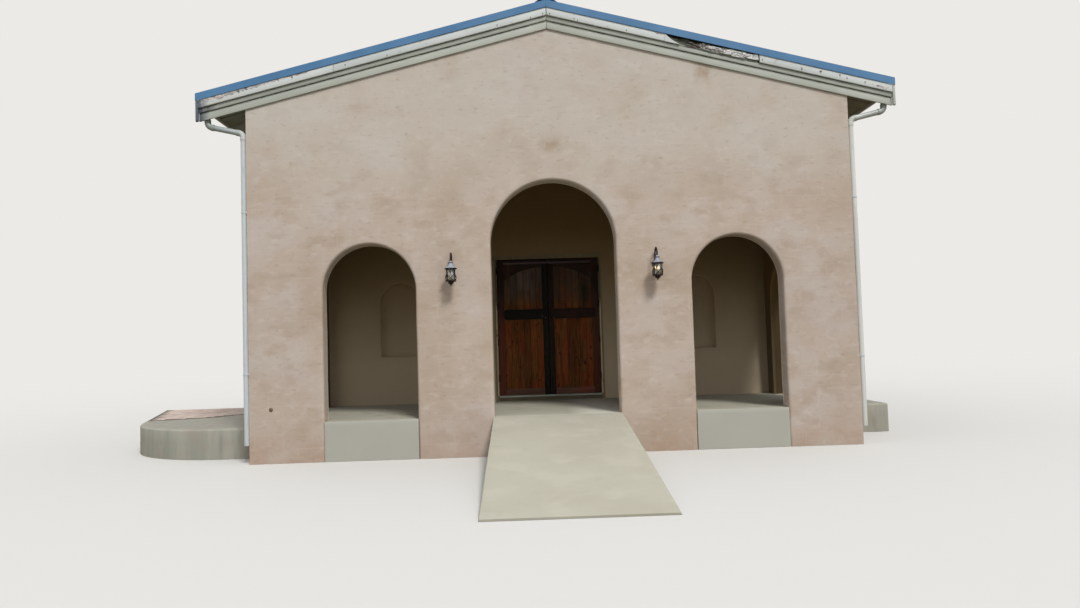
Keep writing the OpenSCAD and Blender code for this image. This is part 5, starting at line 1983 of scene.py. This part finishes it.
@dataclass
class Eaves:
    """What holds and joins the gutters, downspouts and soffits."""

    hanger_pitch: float = 0.9
    hanger_w: float = 0.025
    hanger_down: float = 0.006
    sleeve_pitch: float = 3.0
    sleeve_w: float = 0.06
    sleeve_up: float = 0.001
    overlap: float = 0.002
    metal_t: float = 0.0015
    strap_heights: tuple[float, ...] = (1.25, 3.55)
    strap_h: float = 0.025
    strap_t: float = 0.003
    strap_gap: float = 0.001
    strap_round: float = 0.001
    arm_away: float = 0.036
    arm_half: float = 0.012
    pipe_r: float = 0.040
    joint_first: float = 0.20
    joint_pitch: float = 1.83
    joint_w: float = 0.012
    joint_t: float = 0.0012

    def build(self) -> None:
        """Builds and dresses both sides' fittings."""
        self.gutter_fittings()
        self.pipe_straps()
        self.soffit_joints()

    def gutter_fittings(self) -> None:
        """Builds the hangers across each gutter and the sleeves over its joints."""
        piece = Piece("gutter_hangers")
        for side in Side:
            node = "gutter_" + side.word
            low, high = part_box(node)
            inner, outer = distances(node)
            hangers = int((high.y - low.y) / self.hanger_pitch)
            x0, x1 = side.ends(inner, outer - self.overlap)
            foot = high.z - self.hanger_down
            for number in range(hangers):
                y = low.y + (number + 0.5) * (high.y - low.y) / hangers
                piece.block((x0, y, foot), (x1, y + self.hanger_w, foot + self.metal_t))
            skin, foot = outer + self.metal_t, low.z - self.metal_t
            for number in range(1, int((high.y - low.y) / self.sleeve_pitch) + 1):
                y = low.y + number * self.sleeve_pitch
                sleeve = ((outer - self.overlap, high.z), (inner + self.overlap, low.z + self.sleeve_up))
                for near, top in sleeve:
                    x0, x1 = side.ends(near, skin)
                    piece.block((x0, y, foot), (x1, y + self.sleeve_w, top))
        piece.place(GUTTER_PAINT, "gutter_metal")

    def pipe_straps(self) -> None:
        """Builds the straps that hold each downspout to the wall's side."""
        piece = Piece("downspout_straps")
        wall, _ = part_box("front_wall")
        near, far = self.pipe_r + self.strap_gap, self.pipe_r + self.strap_gap + self.strap_t
        ring = [(near, 0), (far, 0), (far, self.strap_h), (near, self.strap_h), (near, 0)]
        for side in Side:
            node = "downspout_" + side.word
            low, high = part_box(node)
            middle_y = (low.y + high.y) / 2
            middle_x = distances(node)[0] + (high.y - low.y) / 2
            x0, x1 = side.ends(abs(wall.x) - self.overlap, middle_x - self.pipe_r)
            for z in self.strap_heights:
                piece.turned(ring, Vector((side.value * middle_x, middle_y, z)), 24)
                for way in (-1, 1):
                    y = middle_y + way * self.arm_away
                    feet = (x0, y - self.arm_half, z)
                    piece.block(feet, (x1, y + self.arm_half, z + self.strap_h), self.strap_round)
        piece.place(SHADED_PIPE_PAINT, "gutter_metal")

    def soffit_joints(self) -> None:
        """Builds the open joints between the soffit boards, as dark strips of painted shade on their
        underside.
        """
        piece = Piece("soffit_joints")
        for side in Side:
            node = "soffit_" + side.word
            low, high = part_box(node)
            inner, outer = distances(node)
            top, foot = low.z + GABLE_SLOPE * (outer - inner), low.z
            corners = ((inner, top), (outer, foot), (outer, foot - self.joint_t), (inner, top - self.joint_t))
            for number in range(int((high.y - self.joint_first) / self.joint_pitch) + 1):
                y = self.joint_first + number * self.joint_pitch
                piece.prism([(side.value * x, y, z) for x, z in corners], Y * self.joint_w)
        piece.place(GAP_SHADE, "soffit_board")


@dataclass
class RoofScrews:
    """The screws that fix the roof sheets and the ridge cap, each with its washer."""

    rib_pitch: float = 0.305
    rib_foot: float = 0.080
    verge: float = 0.006
    beside_rib: float = 0.062
    row_pitch: float = 0.61
    first_row: float = 0.22
    last_row: float = 0.1
    cap_x: float = 0.125
    washer_r: float = 0.010
    head_r: float = 0.0065
    head_h: float = 0.007
    washer_h: float = 0.001
    head_foot: float = 0.002
    sunk: float = 0.0015

    def build(self) -> None:
        """Builds one screw and sets it in rows across both slopes and along the cap."""
        screws = Piece("roof_screws")
        washer = [(0, -self.sunk), (self.washer_r, -self.sunk), (self.washer_r, self.washer_h)]
        head = [(self.head_r, self.head_foot), (self.head_r, self.head_h), (0, self.head_h)]
        screws.turned(washer + head, Vector((0, 0, 0)), 6)
        screws.repeat(self.places())
        screws.place(SCREW_PAINT, "roof_metal", smooth_to=25)

    def places(self) -> list[Matrix]:
        """Finds each screw's seat on the sheets and the cap.

        Returns:
            Where each screw lies, leaning with its slope.
        """
        places = []
        for side in Side:
            node = "roof_sheet_" + side.word
            low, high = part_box(node)
            length = high.y - low.y
            ribs = int((length - self.rib_foot - 2 * self.verge) / self.rib_pitch) + 1
            start = low.y + (length - (ribs - 1) * self.rib_pitch) / 2
            outer = distances(node)[1] - self.last_row
            lean = Matrix.Rotation(side.value * math.atan(GABLE_SLOPE), 4, "Y")
            rows = int((outer - self.first_row) / self.row_pitch) + 1
            xs = [outer - row * self.row_pitch for row in range(rows)]
            tops = ((top_at(node), xs, self.beside_rib), (top_at("ridge_cap"), [self.cap_x], 0.0))
            for top, away, shift in tops:
                for rib in range(ribs - 1 if shift else ribs):
                    y = start + rib * self.rib_pitch + shift
                    for distance in away:
                        x = side.value * distance
                        places.append(Matrix.Translation((x, y, top(x, y))) @ lean)
        return places


@dataclass
class PlainNodes:
    """The frame's own pieces that keep their shape and only take a finish."""

    finishes: tuple[tuple[Finish, tuple[str, ...]], ...] = (
        (ROOF_PAINT, ("roof_sheet_left", "roof_sheet_right", "ridge_cap")),
        (ROOF_PAINT, ("rake_trim_left", "rake_trim_right")),
        (TRIM_PAINT, ("eave_board_left", "eave_board_right")),
        # The soffits' olive is painted shade.
        (SHADED_SOFFIT_PAINT, ("soffit_right",)),
        (LEFT_SHADED_SOFFIT, ("soffit_left",)),
        (GUTTER_PAINT, ("gutter_left", "gutter_right", "downspout_right")),
        # The left downspout's grey is painted shade.
        (SHADED_PIPE_PAINT, ("downspout_left",)),
        (FRAME_PAINT, ("door_jamb_left", "door_jamb_right", "door_head")),
        (IRON, ("frame_hinges", "leaf_hinges_left", "leaf_hinges_right")),
        (IRON, ("door_pull_left", "door_pull_right")),
        (WINDOW_PAINT, ("window_frames",)),
        (WINDOW_GLASS, ("window_glass",)),
        (CEILING_BOARD, ("ceiling",)),
        (SAWN_DECK, ("roof_deck_left", "roof_deck_right")),
    )

    def build(self) -> None:
        """Dresses each node."""
        for finish, nodes in self.finishes:
            for node in nodes:
                dress(node, finish)


# The studio


@dataclass
class Viewpoint:
    """The camera, where the photograph was taken from."""

    place: Triple = (-0.4708, -11.4162, 1.6061)
    focal_px: float = 792.34
    width_px: float = 1080
    film_mm: float = 36
    yaw: float = -0.0228
    pitch: float = 0.0469
    roll: float = 0.0303
    sees_to: float = 400

    def build(self) -> None:
        """Makes the camera and sets the scene to use it."""
        data = bpy.data.cameras.new("viewpoint")
        data.sensor_width = self.film_mm
        data.lens = self.film_mm * self.focal_px / self.width_px
        data.clip_end = self.sees_to
        camera = add_object("viewpoint", data)
        turn = Matrix.Rotation(self.yaw, 4, "Z") @ Matrix.Rotation(self.pitch, 4, "X")
        turn = turn @ Matrix.Rotation(self.roll, 4, "Y")
        camera.matrix_world = Matrix.Translation(self.place) @ turn @ LYING
        bpy.context.scene.camera = camera


@dataclass
class Studio:
    """Plain pale floor, a sky that is brightest overhead and one broad lamp right of the front."""

    sky: float = 1.0
    sky_colour: str = "#f6f8ff"
    sky_low: float = 0.58
    lamp: float = 2.15
    lamp_spread: float = 13
    lamp_height: float = 50
    lamp_turn: float = 24
    floor_half: float = 150
    floor_down: float = 0.002
    middle_y: float = 4
    floor_colour: str = "#cfcdc7"
    floor_shade: str = "#6f6a5c"
    far_colour: str = "#eceae6"
    fade_from: float = 14
    fade_to: float = 40

    def build(self) -> None:
        """Makes the world, the lamp and the floor."""
        self.world()
        data = bpy.data.lights.new("broad_lamp", "SUN")
        data.energy = self.lamp
        data.angle = math.radians(self.lamp_spread)
        lamp = add_object("broad_lamp", data)
        tilt = Matrix.Rotation(math.radians(90 - self.lamp_height), 4, "X")
        lamp.matrix_world = Matrix.Rotation(math.radians(self.lamp_turn), 4, "Z") @ tilt
        self.floor()

    def world(self) -> None:
        """Makes the sky: its light grows with height, and its background is pale where it is seen."""
        world = bpy.data.worlds.new("studio")
        world.use_nodes = True
        bpy.context.scene.world = world
        tree = world.node_tree
        tree.nodes.clear()
        heading = add_node(tree, "ShaderNodeTexCoord").outputs["Generated"]
        up = add_node(tree, "ShaderNodeSeparateXYZ", {0: heading}).outputs["Z"]
        steps = {"Value": up, "To Min": self.sky * self.sky_low, "To Max": self.sky}
        strength = add_node(tree, "ShaderNodeMapRange", steps).outputs[0]
        sky = {"Color": linear(self.sky_colour), "Strength": strength}
        light = add_node(tree, "ShaderNodeBackground", sky)
        seen = add_node(tree, "ShaderNodeBackground", {"Color": linear(self.far_colour), "Strength": 1.0})
        path = add_node(tree, "ShaderNodeLightPath")
        rays = [path.outputs[n] for n in ("Is Camera Ray", "Is Glossy Ray", "Is Transmission Ray")]
        some = add_node(tree, "ShaderNodeMath", {0: rays[0], 1: rays[1]}, operation="MAXIMUM").outputs[0]
        any_ray = add_node(tree, "ShaderNodeMath", {0: some, 1: rays[2]}, operation="MAXIMUM").outputs[0]
        mix = add_node(tree, "ShaderNodeMixShader", {0: any_ray, 1: light.outputs[0], 2: seen.outputs[0]})
        add_node(tree, "ShaderNodeOutputWorld", {"Surface": mix.outputs[0]})

    def floor(self) -> None:
        """Lays the floor just under the lowest ground."""
        bm = bmesh.new()
        bmesh.ops.create_grid(bm, x_segments=1, y_segments=1, size=self.floor_half)
        bmesh.ops.translate(bm, verts=bm.verts, vec=(0, self.middle_y, -self.floor_down))
        mesh = bpy.data.meshes.new("studio_floor")
        bm.to_mesh(mesh)
        bm.free()
        mesh.materials.append(self.floor_paint())
        add_object("studio_floor", mesh)

    def floor_paint(self) -> bpy.types.Material:
        """Matt paint that fades into the background far off, and is darker to all but the camera.

        Returns:
            The material.
        """
        material = bpy.data.materials.new("studio_floor_paint")
        material.use_nodes = True
        tree = material.node_tree
        tree.nodes.clear()
        place = add_node(tree, "ShaderNodeTexCoord").outputs["Object"]
        middle = {0: place, 1: (0, self.middle_y, 0)}
        far = add_node(tree, "ShaderNodeVectorMath", middle, operation="DISTANCE").outputs["Value"]
        steps = {"Value": far, "From Min": self.fade_from, "From Max": self.fade_to}
        fade = add_node(tree, "ShaderNodeMapRange", steps).outputs[0]
        seen = add_node(tree, "ShaderNodeLightPath").outputs["Is Camera Ray"]
        share = add_node(tree, "ShaderNodeMath", {0: fade, 1: seen}, operation="MULTIPLY").outputs[0]
        mix = {0: seen, 6: linear(self.floor_shade), 7: linear(self.floor_colour)}
        colour = add_node(tree, "ShaderNodeMix", mix, data_type="RGBA").outputs[2]
        matt = add_node(tree, "ShaderNodeBsdfDiffuse", {"Color": colour})
        glow = add_node(tree, "ShaderNodeEmission", {"Color": linear(self.far_colour), "Strength": 1.0})
        mix = add_node(tree, "ShaderNodeMixShader", {0: share, 1: matt.outputs[0], 2: glow.outputs[0]})
        add_node(tree, "ShaderNodeOutputMaterial", {"Surface": mix.outputs[0]})
        return material


def main() -> None:
    """Builds the camera, the studio and every sub-assembly."""
    logging.basicConfig(level=logging.INFO, format="%(name)s: %(message)s")
    bpy.context.scene.view_settings.view_transform = "Standard"
    noise.seed_set(WAVE_SEED)
    Viewpoint().build()
    Studio().build()
    Walls().build()
    Masonry().build()
    Gables().build()
    DoorLeaf(Side.LEFT, rail_end=0.118, screws=((0.054, 2.026), (0.110, 2.056))).build()
    DoorLeaf(Side.RIGHT, rail_end=0.055, screws=((0.093, 2.010),)).build()
    Lantern(Side.LEFT, bulb=DIM_HIGHLIGHT_BULB).build()
    Lantern(Side.RIGHT, strapped=True).build()
    Windows().build()
    Eaves().build()
    RoofScrews().build()
    PlainNodes().build()


if __name__ == "__main__":
    main()
